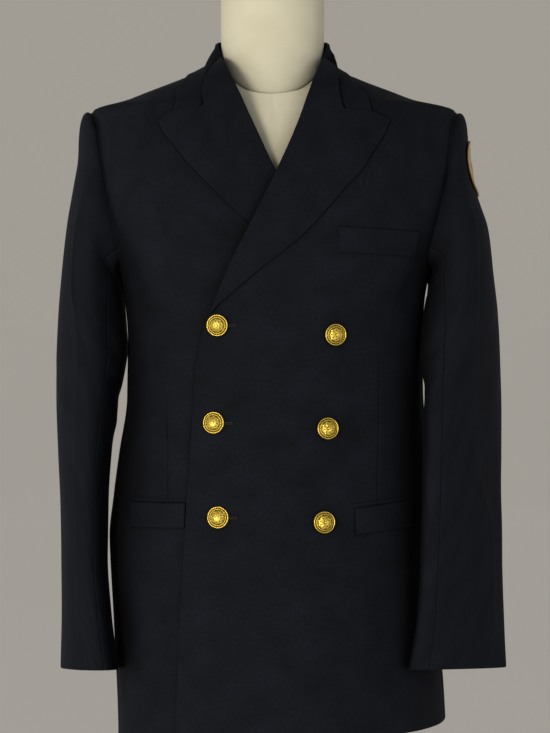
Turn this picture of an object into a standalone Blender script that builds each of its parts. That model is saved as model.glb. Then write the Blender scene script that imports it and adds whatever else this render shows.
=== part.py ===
# Double-breasted military dress tunic on a limbless dress form.
# Metres, +Z up. The coat faces -Y, and its wearer's left is on +X. The origin is the middle of the
# underside of the form's foot, which stands on z = 0.
# Every cloth piece is a thin closed wall. The body's pieces are cut from one surface, given by the
# sections of a general figure, and what lies on a piece is that surface's own points, moved out.
import math

import bpy
import numpy as np

MM = 0.001

# Cloth and gaps, in millimetres.
WALL = 1.5
UNDERARM_SHARE = 0.66  # how far up a panel its underarm corner comes
LAYER_GAP = 0.4
LAYER = WALL + LAYER_GAP

# Body sections, in millimetres: half-width on the wearer's right and left, depth in front and behind,
# and the roundness of the section, where 2 is an ellipse and more is squarer.
HEIGHT, RIGHT, LEFT, FRONT, BACK, ROUND = range(6)
BODY = np.array([
    # height, right, left, front, back, round
    [190, 177, 193, 139, 130, 2.10],
    [240, 179, 190, 138, 130, 2.10],
    [300, 182, 184, 136, 128, 2.10],
    [400, 186, 179, 132, 124, 2.10],
    [450, 180, 177, 129, 118, 2.10],
    [500, 173.5, 173, 125, 106, 2.10],
    [556, 166.5, 167, 121, 93, 2.15],
    [620, 166, 166, 121, 89, 2.20],
    [669, 170, 169, 125, 95, 2.30],
    [705, 177, 176, 129, 104, 2.45],
    [746, 189, 188, 129, 112, 2.65],
    [800, 199, 199, 121, 115, 2.75],
    [850, 204, 204, 106, 104, 2.55],
    [880, 205, 203, 93, 92, 2.35],
    [890, 173, 163, 87, 87, 2.27],
    [900, 148, 136.5, 81, 82, 2.20],
    [915, 110, 98, 70, 73, 2.10],
    [933, 66, 60, 59, 60, 2.00],
    [947, 65, 59.2, 57, 58, 2.00],
    [985, 64.6, 58.8, 56, 57, 2.00],
])
HEM = 200
HEM_LOW = 177  # the hem at the side seams of the wearer's right, which hangs lower
SHOULDER_TIP = 880
NECK_SEAM = 933

# Long seams, as angles round the body in degrees: 0 is the front, 90 the wearer's side, 180 the back.
SIDE_SEAM = 78
BACK_SEAM = 117
MIDDLE_GAP = 0.18  # from the middle to each back panel
# How far each piece stays inside its own seams, as a share of its width and height.
FRONT_INSET = 0.002
SIDE_INSET = 0.004
BACK_INSET = 0.0008
LAPEL_INSET = 0.004
ARMHOLE_FRONT = [  # height, angle: from the front side seam up to the shoulder tip
    (701, 78), (708, 72), (730, 67), (760, 66), (800, 67.5), (835, 68.5), (860, 72), (873, 79), (880, 90)]
ARMHOLE_BACK = [  # height, angle: from the back side seam up to the shoulder tip
    (711, 117), (735, 116), (760, 115), (800, 112), (835, 110), (860, 107), (873, 101), (880, 90)]
ARMHOLE_UNDER = [(701, 78), (695, 90), (699, 104), (711, 117)]  # height, angle

# Front edges and roll lines: height, and the distance from the middle towards the piece's own side.
EDGE_LEFT = [(200, -107), (309, -103), (391, -98), (448, -94.5), (484, -92.5), (548, -88.5), (580, -87),
             (612, -82.5), (634, -76.5)]
ROLL_LEFT = [(652, -67), (696, -48), (745, -24), (803, 4.5), (842, 21.5), (886, 37.5), (916, 47.5), (933, 53)]
EDGE_RIGHT = [(200, -96), (309, -93), (391, -90), (473, -86), (558, -78), (640, -69)]
ROLL_RIGHT = [(652, -66), (700, -48), (745, -27), (803, 0.8), (837, 17), (877, 35.4), (915, 52), (933, 58)]
RIGHT_LAPEL_FOOT = 768

# Lapels: outer edge from the foot up to the peak, then the top edge from the roll line to the peak.
LAPEL_EDGE_LEFT = [(660, -60), (692, -22), (728, 23), (743, 39), (762, 56), (782, 73), (804, 93),
                   (827, 107), (841, 116), (861, 125)]
LAPEL_EDGE_RIGHT = [(736, 13), (745, 25), (760, 42), (778, 61), (795, 78), (815, 96), (835, 111),
                    (846, 120), (858, 126)]
GORGE_LEFT = [(933, 53), (918, 66), (890, 69), (871, 74)]
GORGE_RIGHT = [(933, 58), (909, 73), (892, 78), (874, 77)]
LEAF_FOOT_LEFT = [(871, 74), (869, 104)]
LEAF_FOOT_RIGHT = [(874, 77), (870, 109)]
LEAF_EDGE_LEFT = [(869, 104), (886, 100), (895, 95), (905, 88), (914, 81)]
LEAF_EDGE_RIGHT = [(870, 109), (885, 104), (896, 98), (906, 92), (916, 85)]
LAPEL_ROLL_RISE = 2.4
LAPEL_RISE_SHARE = 0.06  # the roll's rise is no more than this share of the lapel's width
LAPEL_LIFT = 3.1
LAPEL_CLIMB = (850, 910)
LAPEL_STAND_OFF = 2.4  # more lift where the lapel climbs the neck
ROLL_CLEAR = 0.7  # and more room round the front's edge there
# The turn round the front's edge: how far beyond it, a share of the lapel's lift, and a level added.
ROLL_OUTER = [(2.7, 0.0, -WALL), (2.8, 0.2, 0.0), (1.9, 0.8, 0.0)]
ROLL_INNER = [(1.2, 0.0, -WALL), (1.2, 0.1, 0.0), (0.9, 0.8, -1.1)]

# Collar: the fold and the fall's outer edge, as height and angle.
COLLAR_FOLD = [(938.5, 64.5), (948, 73), (959, 90), (964, 112), (967, 145), (968, 180)]
COLLAR_EDGE = [(928, 88), (921, 115), (914, 148), (913, 180)]
COLLAR_FALL_BULGE = 0.8
COLLAR_FOOT_INSIDE = 0.4  # the stand's foot, inside the body's surface
COLLAR_FOOT = NECK_SEAM + 1
# From the stand up to the fold: how far out and how far below the fold, on each face of the wall.
STAND_OUTER = [(-COLLAR_FOOT_INSIDE - WALL, 2.0), (-0.7, 0.4), (0.9, 0.2)]
STAND_INNER = [(-COLLAR_FOOT_INSIDE, 2.4), (0.0, 2.0), (0.4, 2.2)]
FOLD_OUT = 1.5  # the fall's first row, out from and below the fold
FOLD_DROP = 1.6
FALL_OWN_SHARE = 0.25  # from the leaf's end, the share over which the fall turns to its own normals
FALL_BULGE_SHARE = 0.33  # and the share over which its bulge comes up
FALL_SINK = 5.0  # how far it sinks in over the shoulder seam, and where that is down the collar
FALL_SINK_AT, FALL_SINK_REACH = 0.34, 0.18
GORGE_REACH = 4
LEAF_PARTS = 8
LEAF_LIFT = LAYER + 0.5
FALL_EDGE_LIFT = LAYER + 1.0
COLLAR_END_GAP = 0.011  # at the gorge, as a share of half the collar
GORGE_GAP = 1.2
COLLAR_CLEAR = 1.4  # more room under the fall than a layer has

# How far the right front lies inside the left one where they lap.
LAP_DEPTH = [(190, 2.6), (600, 2.6), (680, 8.6), (800, 8.6), (860, 3.6), (960, 3.0)]  # height, depth
LAP_START = 85
LAP_END = 8

# Sleeve sections: inner, outer, front and back extents, the section's turn in degrees and the slope
# of its plane, which lifts its front.
S_HEIGHT, S_INNER, S_OUTER, S_FRONT, S_BACK, S_TURN, S_SLOPE = range(7)
SLEEVE_RIGHT = np.array([
    # height, inner, outer, front, back, turn, slope
    [260, 171, 239, -94, 14, 22, 0.12],
    [320, 179.5, 238.2, -92, 21, 18, 0.10],
    [387, 185, 238.6, -91, 28, 14, 0.08],
    [440, 185, 240, -89, 35, 12, 0.06],
    [500, 182, 243, -86, 43, 10, 0.04],
    [556, 175, 244.5, -83, 52, 5, 0.02],
    [600, 171, 244.6, -80, 58, 2, 0.00],
    [650, 174, 243, -78, 64, 2, 0.00],
    [700, 177, 239.5, -75, 69, 3, 0.00],
    [750, 173, 234.8, -71, 71, 5, 0.00],
    [800, 166, 226.8, -66, 69, 5, 0.00],
    [830, 162, 221.8, -63, 66, 2, 0.00],
    [860, 158, 220.8, -60, 62, 0, 0.00],
])
SLEEVE_LEFT = np.array([
    # height, inner, outer, front, back, turn, slope
    [266, 143, 255.2, -112, -40, 51, 0.12],
    [320, 152, 254.4, -114, -22, 52, 0.10],
    [387, 156, 253.4, -111, -6, 51, 0.08],
    [440, 159, 253.4, -107, 5, 49, 0.06],
    [500, 161, 256.4, -99, 18, 47, 0.04],
    [556, 163, 258, -91, 33, 43, 0.02],
    [600, 166, 257, -85, 46, 35, 0.00],
    [650, 170, 254.4, -80, 58, 25, 0.00],
    [700, 174, 247.8, -75, 67, 15, 0.00],
    [750, 172, 240.4, -71, 71, 8, 0.00],
    [775, 169, 231.8, -69, 70, 6, 0.00],
    [800, 166, 223.8, -66, 69, 5, 0.00],
    [830, 162, 218.8, -63, 66, 2, 0.00],
    [860, 158, 217, -60, 62, 0, 0.00],
])
# Where the sleeve head has run into the straight sleeve: height at the outside, front, inside, back.
CAP_END = (848, 735, 655, 738)
UNDER_SLEEVE = (128, 236)  # the under sleeve's two seams, as angles round the sleeve from its outside
SLEEVE_GAP = 0.35  # degrees from a sleeve seam's middle to each edge
UNDERARM_ANGLES = (148, 214)  # round the armhole, where its front and back meet the underarm
# The upper arm lies against the body: between these heights a sleeve's near side is drawn in to
# this gap, less and less with its distance.
REST_HEIGHTS = (560, 610, 690, 715)  # none, all, all, none
REST_GAP = 1.8
REST_REACH = 22
# The sleeve head leaves the armhole outwards and meets the straight sleeve from above. Its two pulls
# are shares of the way between them, the first one up to a limit.
HEAD_SEAT = 1.0
ARM_TOP_ROWS = (0, 0.03, 0.06, 0.09, 0.125, 0.165)  # shares down the straight sleeve, beneath the patch
ARM_LOWER_ROWS = 12
HEAD_OUT = np.array([1.0, 0.75, 0.6])
HEAD_ROPE = 0.25
HEAD_PULL = 0.30
HEAD_PULL_LIMIT = 13
ARM_PULL = 0.42

# What lies on the fronts: height and distance from the middle of each corner.
FLAP_LEFT = [(443.5, 85), (450, 150), (421, 150), (415, 86)]
FLAP_RIGHT = [(449, 96), (447, 158), (420, 158), (422, 97)]
WELT = [(742, 67), (739, 156), (712, 152), (715, 67)]
FLAP_WALL = 2.0
FLAP_SEAT = 0.8
WELT_SEAT = 1.4

BUTTONS = [  # height, distance across to the wearer's left, seat above the cloth
    (638, -61, 1.0), (628, 64, 1.6), (534, -65, 0.4), (528, 56, 0.7), (434, -60, 0.7), (429, 52, 0.7)]
BUTTON_PROFILE = [  # radius, height
    (11.6, 0.8), (11.6, 1.5), (10.9, 2.2), (9.4, 3.1), (6.6, 4.5), (3.4, 5.4)]
BUTTON_TOP = 5.7
BUTTON_BACK_RADIUS = 10.6
BUTTON_SEGMENTS = 18

PATCH_HEIGHTS = (778, 853)
PATCH_ANGLES = (-40, 42)
PATCH_WALL = 1.2
PATCH_SEAT = 1.4

# Dress form: how far inside the coat's outer face it lies, in millimetres.
FORM = np.array([
    # height, side, front, back
    [220, 13, 8, 9],
    [400, 12, 8, 9],
    [560, 8, 8, 8],
    [620, 8, 12, 8],
    [680, 8, 13.5, 8],
    [800, 6, 13, 8],
    [850, 3.8, 12, 7.5],
    [880, 3.2, 12, 6.5],
    [908, 3.2, 12, 6.5],
    [926, 6.0, 11, 6.4],
    [985, 5.6, 6, 5.6],
])
FORM_BOTTOM = 226
FORM_TOP = 1062
NECK_ASIDE = -2.8  # the neck's middle, towards the wearer's right
NECK_FOOT = (62.8, -8, 72)  # half-width, middle and half-depth of the ring where the shoulders end
NECK_JOIN = (56.2, -8, 58.5)  # and of the neck's seam
NECK_JOIN_HEIGHT = 929
NECK_JOIN_DIP = 39
NECK_TOP = (58.4, -1, 51)
FORM_RINGS = (300, 400, 450, 500, 560, 620, 680, 740, 800, 840, 862)  # heights above the bottom
SHOULDER_SHARES = (0.25, 0.5, 0.72, 0.88)  # rings from the last height to the neck's foot
# Neck rings: share of the height, and of the way from the seam's plan to the top's.
NECK_RINGS = [(0, 0.0), (0.2, 0.75), (0.4, 0.97), (0.97, 1.0)]
NECK_ROUNDING = 0.93  # the top face's size
FORM_POINTS = 28
HALVINGS = 40
POLE_RADIUS = 16
BASE_RADIUS = 165
BASE_HEIGHT = 18
BASE_EDGE = 4
BASE_FOOT_EDGE = 1
TOUCH_GAP = 0.3
NECK_GAP = 0.4

WOOL = ("navy_wool", (0.012, 0.014, 0.020), 0.85, 0.0)
GILT = ("gilt_brass", (0.72, 0.50, 0.18), 0.30, 1.0)
PATCH_CLOTH = ("amber_embroidery", (0.55, 0.33, 0.06), 0.80, 0.0)
FORM_CLOTH = ("cream_form_cloth", (0.72, 0.66, 0.54), 0.90, 0.0)
STEEL = ("black_painted_steel", (0.02, 0.02, 0.02), 0.45, 0.0)


# Smooth values from tables

def table_value(rows, column, at):
    # Monotone cubic through the rows, so nothing overshoots between two of them.
    knots = rows[:, 0]
    values = rows[:, column]
    at = np.asarray(at, float)
    widths = np.diff(knots)
    slopes = np.diff(values) / widths
    tangents = np.concatenate([[slopes[0]], np.zeros(len(knots) - 2), [slopes[-1]]])
    before, after = slopes[:-1], slopes[1:]
    same = before * after > 0
    weight_1 = 2 * widths[1:] + widths[:-1]
    weight_2 = widths[1:] + 2 * widths[:-1]
    inner = np.zeros(len(before))
    inner[same] = ((weight_1 + weight_2)[same]
                   / (weight_1[same] / before[same] + weight_2[same] / after[same]))
    tangents[1:-1] = inner
    index = np.clip(np.searchsorted(knots, at, side="right") - 1, 0, len(widths) - 1)
    step = widths[index]
    u = np.clip((at - knots[index]) / step, 0, 1)
    return ((1 + 2 * u) * (1 - u) ** 2 * values[index] + u * (1 - u) ** 2 * step * tangents[index]
            + u * u * (3 - 2 * u) * values[index + 1] + u * u * (u - 1) * step * tangents[index + 1])


def curve(points):
    # Smooth curve through points, as a function of the share of its length, 0 to 1.
    points = np.asarray(points, float)
    lengths = np.concatenate([[0], np.cumsum(np.linalg.norm(np.diff(points, axis=0), axis=1))])
    knots = lengths / lengths[-1]
    tangents = np.gradient(points, knots, axis=0)

    def at(share):
        share = np.asarray(share, float)
        index = np.clip(np.searchsorted(knots, share, side="right") - 1, 0, len(knots) - 2)
        step = (knots[index + 1] - knots[index])[..., None]
        u = (share[..., None] - knots[index][..., None]) / step
        return ((1 + 2 * u) * (1 - u) ** 2 * points[index]
                + u * (1 - u) ** 2 * step * tangents[index]
                + u * u * (3 - 2 * u) * points[index + 1]
                + u * u * (u - 1) * step * tangents[index + 1])
    return at


def joined(first, second, corner):
    # Two curves run one after the other, meeting at a corner at this share of the whole.
    def at(share):
        share = np.asarray(share, float)
        early = first(np.clip(share / corner, 0, 1))
        late = second(np.clip((share - corner) / (1 - corner), 0, 1))
        return np.where((share < corner)[..., None], early, late)
    return at


def patch(bottom, top, left, right, columns, rows, inset=0.0, last_inset=None):
    # Coons patch between four curves: rows run from bottom to top, columns from left to right.
    # The insets keep a seam's gap at the borders, as shares of the patch; the last column may have
    # its own.
    last = inset if last_inset is None else last_inset
    s = np.clip(columns, inset, 1 - last)[None, :, None]
    t = np.clip(rows, inset, 1 - inset)[:, None, None]
    low, high = bottom(s[0, :, 0])[None], top(s[0, :, 0])[None]
    near, far = left(t[:, 0, 0])[:, None], right(t[:, 0, 0])[:, None]
    corners = ((1 - s) * (1 - t) * bottom(0.0) + s * (1 - t) * bottom(1.0)
               + (1 - s) * t * top(0.0) + s * t * top(1.0))
    return (1 - t) * low + t * high + (1 - s) * near + s * far - corners


# The body's surface

def section(height, side):
    # Half-width on this side, depth in front and behind, and roundness at these heights.
    wide = np.where(np.asarray(side) < 0, table_value(BODY, RIGHT, height),
                    table_value(BODY, LEFT, height))
    return (wide, table_value(BODY, FRONT, height), table_value(BODY, BACK, height),
            table_value(BODY, ROUND, height))


def raw_point(angle, height):
    # Superellipse: x = W sin^(2/n), y = -D cos^(2/n), with its own D in front and behind.
    turn = np.radians(angle)
    sine, cosine = np.sin(turn), np.cos(turn)
    wide, front, back, rounding = section(height, sine)
    deep = np.where(cosine >= 0, front, back)
    across = wide * np.sign(sine) * np.abs(sine) ** (2 / rounding)
    along = -deep * np.sign(cosine) * np.abs(cosine) ** (2 / rounding)
    return np.stack([across, along, height * np.ones_like(across)], axis=-1)


def body_normal(angle, height):
    # Outward normal, from how the surface's reach changes about this point.
    point = raw_point(angle, height)
    side = np.sign(np.sin(np.radians(angle)))
    back = np.cos(np.radians(angle)) < 0
    reach = 1.0

    def size(at):
        wide, front, rear, rounding = section(at[..., 2], side)
        deep = np.where(back, rear, front)
        return ((np.abs(at[..., 0]) / wide) ** rounding
                + (np.abs(at[..., 1]) / deep) ** rounding) ** (1 / rounding)
    slopes = [size(point + reach * axis) - size(point - reach * axis) for axis in np.eye(3)]
    normal = np.stack(slopes, axis=-1)
    return normal / np.linalg.norm(normal, axis=-1, keepdims=True)


def body_point(angle, height, lift=0.0):
    # A point of the body's surface, moved out along the surface's normal.
    lift = np.asarray(lift, float)[..., None]
    return raw_point(angle, height) + body_normal(angle, height) * lift


def angle_at(height, across):
    # The angle of the front point that lies this far from the middle.
    wide, _, _, rounding = section(height, across)
    share = np.clip(np.abs(across) / wide, 0, 1)
    return np.sign(across) * np.degrees(np.arcsin(share ** (rounding / 2)))


def flat_curve(rows):
    # Rows of height and distance, as a curve of distance and height seen from straight ahead.
    return curve(np.array(rows, float)[:, ::-1])


def front_curve(rows, side):
    # Rows of height and distance towards this side, as a curve of angle and height.
    flat = flat_curve(rows)

    def at(share):
        point = flat(share)
        height = point[..., 1]
        return np.stack([angle_at(height, side * point[..., 0]), height], axis=-1)
    return at


def angle_curve(rows, side):
    rows = np.array(rows, float)
    return curve(np.stack([side * rows[:, 1], rows[:, 0]], axis=1))


def line(first, second):
    return curve([first, second])


def lap_edge(height):
    # Distance across of the left front's edge, which the right front passes beneath.
    rows = np.array(EDGE_LEFT + ROLL_LEFT, float)
    return table_value(rows, 1, height)


def right_lap(angle, height):
    # The right front sinks smoothly below the left one before it passes beneath its edge.
    across = raw_point(angle, height)[..., 0]
    share = np.clip((across - lap_edge(height) + LAP_START) / (LAP_START - LAP_END), 0, 1)
    depth = table_value(np.array(LAP_DEPTH, float), 1, height)
    front = np.cos(np.radians(angle)) > 0
    return np.where(front, -depth * share * share * (3 - 2 * share), 0)


def ground(side, angle, height):
    # How far this side's front lies from the body's surface.
    return right_lap(angle, height) if side < 0 else np.zeros_like(angle)


def body_distance(points):
    # Distance outside the body's surface, and the outward direction there.
    def size(at):
        wide, front, rear, rounding = section(at[..., 2], at[..., 0])
        deep = np.where(at[..., 1] < 0, front, rear)
        return ((np.abs(at[..., 0]) / wide) ** rounding
                + (np.abs(at[..., 1]) / deep) ** rounding) ** (1 / rounding) - 1
    slopes = [size(points + axis) - size(points - axis) for axis in np.eye(3)]
    slope = np.stack(slopes, axis=-1) / 2
    steep = np.linalg.norm(slope, axis=-1, keepdims=True)
    return size(points) / steep[..., 0], slope / steep


def lifted_clear(points, least):
    # Points nearer to the body's surface than this are moved straight out.
    for _ in range(2):
        distance, outward = body_distance(points)
        points = points + outward * np.maximum(least - distance, 0)[..., None]
    return points


# Meshes

def material(look):
    name, colour, roughness, metallic = look
    found = bpy.data.materials.get(name)
    if found:
        return found
    made = bpy.data.materials.new(name)
    made.use_nodes = True
    shader = made.node_tree.nodes["Principled BSDF"]
    shader.inputs["Base Color"].default_value = (*colour, 1)
    shader.inputs["Roughness"].default_value = roughness
    shader.inputs["Metallic"].default_value = metallic
    return made


def signed_volume(points, faces):
    total = 0.0
    for face in faces:
        a = points[face[0]]
        for b, c in zip(face[1:-1], face[2:]):
            total += np.dot(a, np.cross(points[b], points[c]))
    return total


def add_object(name, points, faces, look):
    # Points in millimetres. The faces are turned over together if they look inwards.
    if signed_volume(points, faces) < 0:
        faces = [tuple(reversed(face)) for face in faces]
    mesh = bpy.data.meshes.new(name)
    mesh.from_pydata((points * MM).tolist(), [], faces)
    mesh.materials.append(material(look))
    mesh.shade_smooth()
    mesh.set_sharp_from_angle(angle=np.radians(40))
    made = bpy.data.objects.new(name, mesh)
    bpy.context.scene.collection.objects.link(made)
    return made


def grid_faces(rows, columns, start=0):
    return [(start + r * columns + c, start + r * columns + c + 1,
             start + (r + 1) * columns + c + 1, start + (r + 1) * columns + c)
            for r in range(rows - 1) for c in range(columns - 1)]


def add_wall(name, outer, inner, look=WOOL):
    # Closed wall between two equal grids of points, with a rim round their border.
    rows, columns = outer.shape[:2]
    count = rows * columns
    border = ([(0, c) for c in range(columns)] + [(r, columns - 1) for r in range(1, rows)]
              + [(rows - 1, c) for c in range(columns - 2, -1, -1)]
              + [(r, 0) for r in range(rows - 2, 0, -1)])
    border = [r * columns + c for r, c in border]
    faces = grid_faces(rows, columns)
    faces += [tuple(reversed(face)) for face in grid_faces(rows, columns, count)]
    for a, b in zip(border, border[1:] + border[:1]):
        faces.append((b, a, a + count, b + count))
    points = np.concatenate([outer.reshape(-1, 3), inner.reshape(-1, 3)])
    return add_object(name, points, faces, look)


def add_rings(name, rings, look, top=None, bottom=None):
    # Closed solid through rings of points, with a point or a flat polygon at each end.
    count, around = rings.shape[:2]
    points = [rings.reshape(-1, 3)]
    faces = [(r * around + i, r * around + (i + 1) % around,
              (r + 1) * around + (i + 1) % around, (r + 1) * around + i)
             for r in range(count - 1) for i in range(around)]
    first = list(range(around))
    last = [(count - 1) * around + i for i in range(around)]
    for ring, tip, flip in ((first, bottom, True), (last, top, False)):
        if tip is None:
            faces.append(tuple(reversed(ring)) if flip else tuple(ring))
            continue
        index = sum(len(group) for group in points)
        points.append(np.array([tip], float))
        for a, b in zip(ring, ring[1:] + ring[:1]):
            faces.append((b, a, index) if flip else (a, b, index))
    return add_object(name, np.concatenate(points), faces, look)


def even(count):
    return np.linspace(0, 1, count + 1)


# Body pieces

def add_body_panel(name, side, grid):
    # A wall from a grid of angles and heights.
    angle, height = grid[..., 0], grid[..., 1]
    lift = ground(side, angle, height)
    add_wall(name, body_point(angle, height, lift), body_point(angle, height, lift - WALL))


def front_border(side):
    # From the hem up the front edge and the roll line to the neck.
    edge, roll = (EDGE_LEFT, ROLL_LEFT) if side > 0 else (EDGE_RIGHT, ROLL_RIGHT)
    return front_curve(edge + roll, side)


def hem_at(side):
    return HEM_LOW if side < 0 else HEM


def side_border(armhole, side):
    # From the hem up a side seam to the underarm, then up the armhole to the shoulder tip.
    foot, angle = armhole[0]
    seam = line((side * angle, hem_at(side)), (side * angle, foot))
    return joined(seam, angle_curve(armhole, side), UNDERARM_SHARE)


def panel_rows(below, above):
    # Rows up to the underarm, then closer and closer ones up to the shoulder.
    climb = 1 - (1 - even(above)) ** 1.5
    return np.concatenate([even(below)[:-1] * UNDERARM_SHARE,
                           UNDERARM_SHARE + (1 - UNDERARM_SHARE) * climb])


def shoulder(neck_angle, corner, side, flip):
    # From the neck seam's end round to the neck point, then down the shoulder to its tip.
    neck = line((side * neck_angle, NECK_SEAM), (side * 90, NECK_SEAM))
    slope = line((side * 90, NECK_SEAM), (side * 90, SHOULDER_TIP))
    whole = joined(neck, slope, corner)
    if flip:
        return lambda share: whole(1 - np.asarray(share, float))
    return whole


def add_front(name, side):
    left = front_border(side)
    right = side_border(ARMHOLE_FRONT, side)
    bottom = line(left(0.0), right(0.0))
    top = shoulder(abs(left(1.0)[0]), 2 / 14, side, False)
    add_body_panel(name, side, patch(bottom, top, left, right, even(14), panel_rows(9, 15),
                                     FRONT_INSET))


def add_side(name, side):
    left = line((side * SIDE_SEAM, hem_at(side)), (side * SIDE_SEAM, ARMHOLE_FRONT[0][0]))
    right = line((side * BACK_SEAM, hem_at(side)), (side * BACK_SEAM, ARMHOLE_BACK[0][0]))
    bottom = line(left(0.0), right(0.0))
    top = angle_curve(ARMHOLE_UNDER, side)
    add_body_panel(name, side, patch(bottom, top, left, right, even(4), even(16), SIDE_INSET))


def back_middle(side):
    # Up the middle of the back, at a steady distance from it.
    def at(share):
        height = HEM + np.asarray(share, float) * (NECK_SEAM - HEM)
        return np.stack([side * (180 - angle_at(height, MIDDLE_GAP)), height], axis=-1)
    return at


def add_back(name, side):
    left = side_border(ARMHOLE_BACK, side)
    right = back_middle(side)
    bottom = line(left(0.0), right(0.0))
    top = shoulder(side * right(1.0)[0], 5 / 13, side, True)
    add_body_panel(name, side, patch(bottom, top, left, right, even(13), panel_rows(8, 16),
                                     BACK_INSET, 0.0))


# Lapels and collar

def gorge_line(side, to_leaf_tip=False):
    # From the roll line down the gorge to the notch, and on under the collar's leaf to the peak,
    # or only to the leaf's tip. The notch is half way.
    gorge, foot, edge = ((GORGE_LEFT, LEAF_FOOT_LEFT, LAPEL_EDGE_LEFT) if side > 0
                         else (GORGE_RIGHT, LEAF_FOOT_RIGHT, LAPEL_EDGE_RIGHT))
    top_edge = flat_curve(foot + edge[-1:])
    if not to_leaf_tip:
        return joined(flat_curve(gorge), top_edge, 0.5)
    leaf, whole = math.dist(foot[0], foot[1]), math.dist(foot[1], edge[-1])
    share = leaf / (leaf + whole)
    return joined(flat_curve(gorge), lambda at: top_edge(at * share), 0.5)


def lapel_grid(side, columns, rows):
    # Angle and height over the lapel: columns from the roll line out, rows from the foot to the top.
    roll, edge = (ROLL_LEFT, LAPEL_EDGE_LEFT) if side > 0 else (ROLL_RIGHT, LAPEL_EDGE_RIGHT)
    if side < 0:
        roll = [row for row in roll if row[0] > RIGHT_LAPEL_FOOT]
        roll = [(RIGHT_LAPEL_FOOT, np.interp(RIGHT_LAPEL_FOOT, *zip(*ROLL_RIGHT)))] + roll
    left, right = flat_curve(roll), flat_curve(edge)
    top = gorge_line(side)
    bottom = line(left(0.0), right(0.0))
    flat = patch(bottom, top, left, right, columns, rows, LAPEL_INSET)
    across, height = side * flat[..., 0], flat[..., 1]
    return np.stack([angle_at(height, across), height], axis=-1)


def add_lapel(name, side):
    columns, rows = even(6), even(14)
    grid = lapel_grid(side, columns, rows)
    angle, height = grid[..., 0], grid[..., 1]
    base = ground(side, angle, height)
    flat = raw_point(angle, height)
    width = np.linalg.norm(flat[:, -1] - flat[:, 0], axis=1)[:, None]
    rise = np.minimum(LAPEL_ROLL_RISE, LAPEL_RISE_SHARE * width)
    climb = np.clip((height - LAPEL_CLIMB[0]) / (LAPEL_CLIMB[1] - LAPEL_CLIMB[0]), 0, 1)
    lift = LAPEL_LIFT + rise * (1 - columns[None, :]) ** 2 + LAPEL_STAND_OFF * climb
    outer = body_point(angle, height, base + lift)
    inner = body_point(angle, height, base + lift - WALL)
    # The roll: beyond the front's edge the cloth turns down and round it.
    away = flat[:, 0] - flat[:, 1]
    away = away / np.linalg.norm(away, axis=1, keepdims=True)
    up = body_normal(angle[:, 0], height[:, 0])
    start = body_point(angle[:, 0], height[:, 0], base[:, 0])
    top = lift[:, 0][:, None]
    clear = climb[:, 0][:, None] * ROLL_CLEAR

    def turned(rows):
        return [(start + away * (out + clear) + up * (share * top + level))[:, None]
                for out, share, level in rows]
    add_wall(name, np.concatenate(turned(ROLL_OUTER) + [outer], axis=1),
             np.concatenate(turned(ROLL_INNER) + [inner], axis=1))


def collar_half(side, columns, rows):
    # Outer and inner grids of half the collar, rows from its front end to the middle of the back.
    # Columns run from the stand's foot, over the fold, to the fall's outer edge.
    leaf = LEAF_EDGE_LEFT if side > 0 else LEAF_EDGE_RIGHT
    fold = angle_curve(COLLAR_FOLD, side)(rows)
    angle, height = fold[:, 0], fold[:, 1]

    def stand(rows):
        # The foot, then the rows up to the fold.
        places = [(rows[0][0], height - COLLAR_FOOT)] + rows
        return [body_point(angle, height - drop, np.full(len(angle), out))[:, None]
                for out, drop in places]

    # The fall is ruled from the fold to the outer edge. In front it takes up the gorge's line: the
    # line's distance from its own chord * (1 - t) ^ GORGE_REACH.
    fold_edge = body_point(angle, height - FOLD_DROP, np.full(len(angle), FOLD_OUT))
    end = gorge_line(side, to_leaf_tip=True)(columns)
    end = body_point(angle_at(end[:, 1], side * (end[:, 0] + GORGE_GAP)), end[:, 1],
                     np.full(len(columns), LEAF_LIFT))
    end[0] = fold_edge[0]
    angles = [(high, angle_at(high, across)) for across, high in flat_curve(leaf)(even(LEAF_PARTS))]
    edge = angle_curve(angles + COLLAR_EDGE, side)(rows)
    edge = body_point(edge[:, 0], edge[:, 1], np.full(len(rows), FALL_EDGE_LIFT))
    edge[0] = end[-1]
    s, t = columns[None, :, None], rows[:, None, None]
    chord = fold_edge[0] + (edge[0] - fold_edge[0]) * columns[:, None]
    fall = (1 - s) * fold_edge[:, None] + s * edge[:, None] + (1 - t) ** GORGE_REACH * (end - chord)[None]
    normal = grid_normals(fall)
    _, outward = body_distance(fall)
    normal = normal * np.sign(np.sum(normal * outward, axis=-1, keepdims=True))
    own = np.minimum(1, t / FALL_OWN_SHARE)
    normal = normal * own + outward * (1 - own)
    normal = normal / np.linalg.norm(normal, axis=-1, keepdims=True)
    sink = FALL_SINK * np.exp(-((t - FALL_SINK_AT) / FALL_SINK_REACH) ** 2)
    bulge = (COLLAR_FALL_BULGE * np.minimum(1, t / FALL_BULGE_SHARE) - sink) * np.sin(np.pi * s)
    fall = lifted_clear(fall + normal * bulge, LAYER + COLLAR_CLEAR)
    under = lifted_clear(fall - normal * WALL, LAYER_GAP + COLLAR_CLEAR)
    return (np.concatenate(stand(STAND_OUTER) + [fall], axis=1),
            np.concatenate(stand(STAND_INNER) + [under], axis=1))


def grid_normals(grid):
    down = np.gradient(grid, axis=0)
    across = np.gradient(grid, axis=1)
    normal = np.cross(down, across)
    return normal / np.linalg.norm(normal, axis=-1, keepdims=True)


def add_collar():
    rows, columns = np.maximum(even(15), COLLAR_END_GAP), even(7)
    right = collar_half(-1, columns, rows)
    left = collar_half(1, columns, rows)
    outer = np.concatenate([right[0], left[0][-2::-1]])
    inner = np.concatenate([right[1], left[1][-2::-1]])
    add_wall("collar", outer, inner)


# Sleeves

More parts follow.
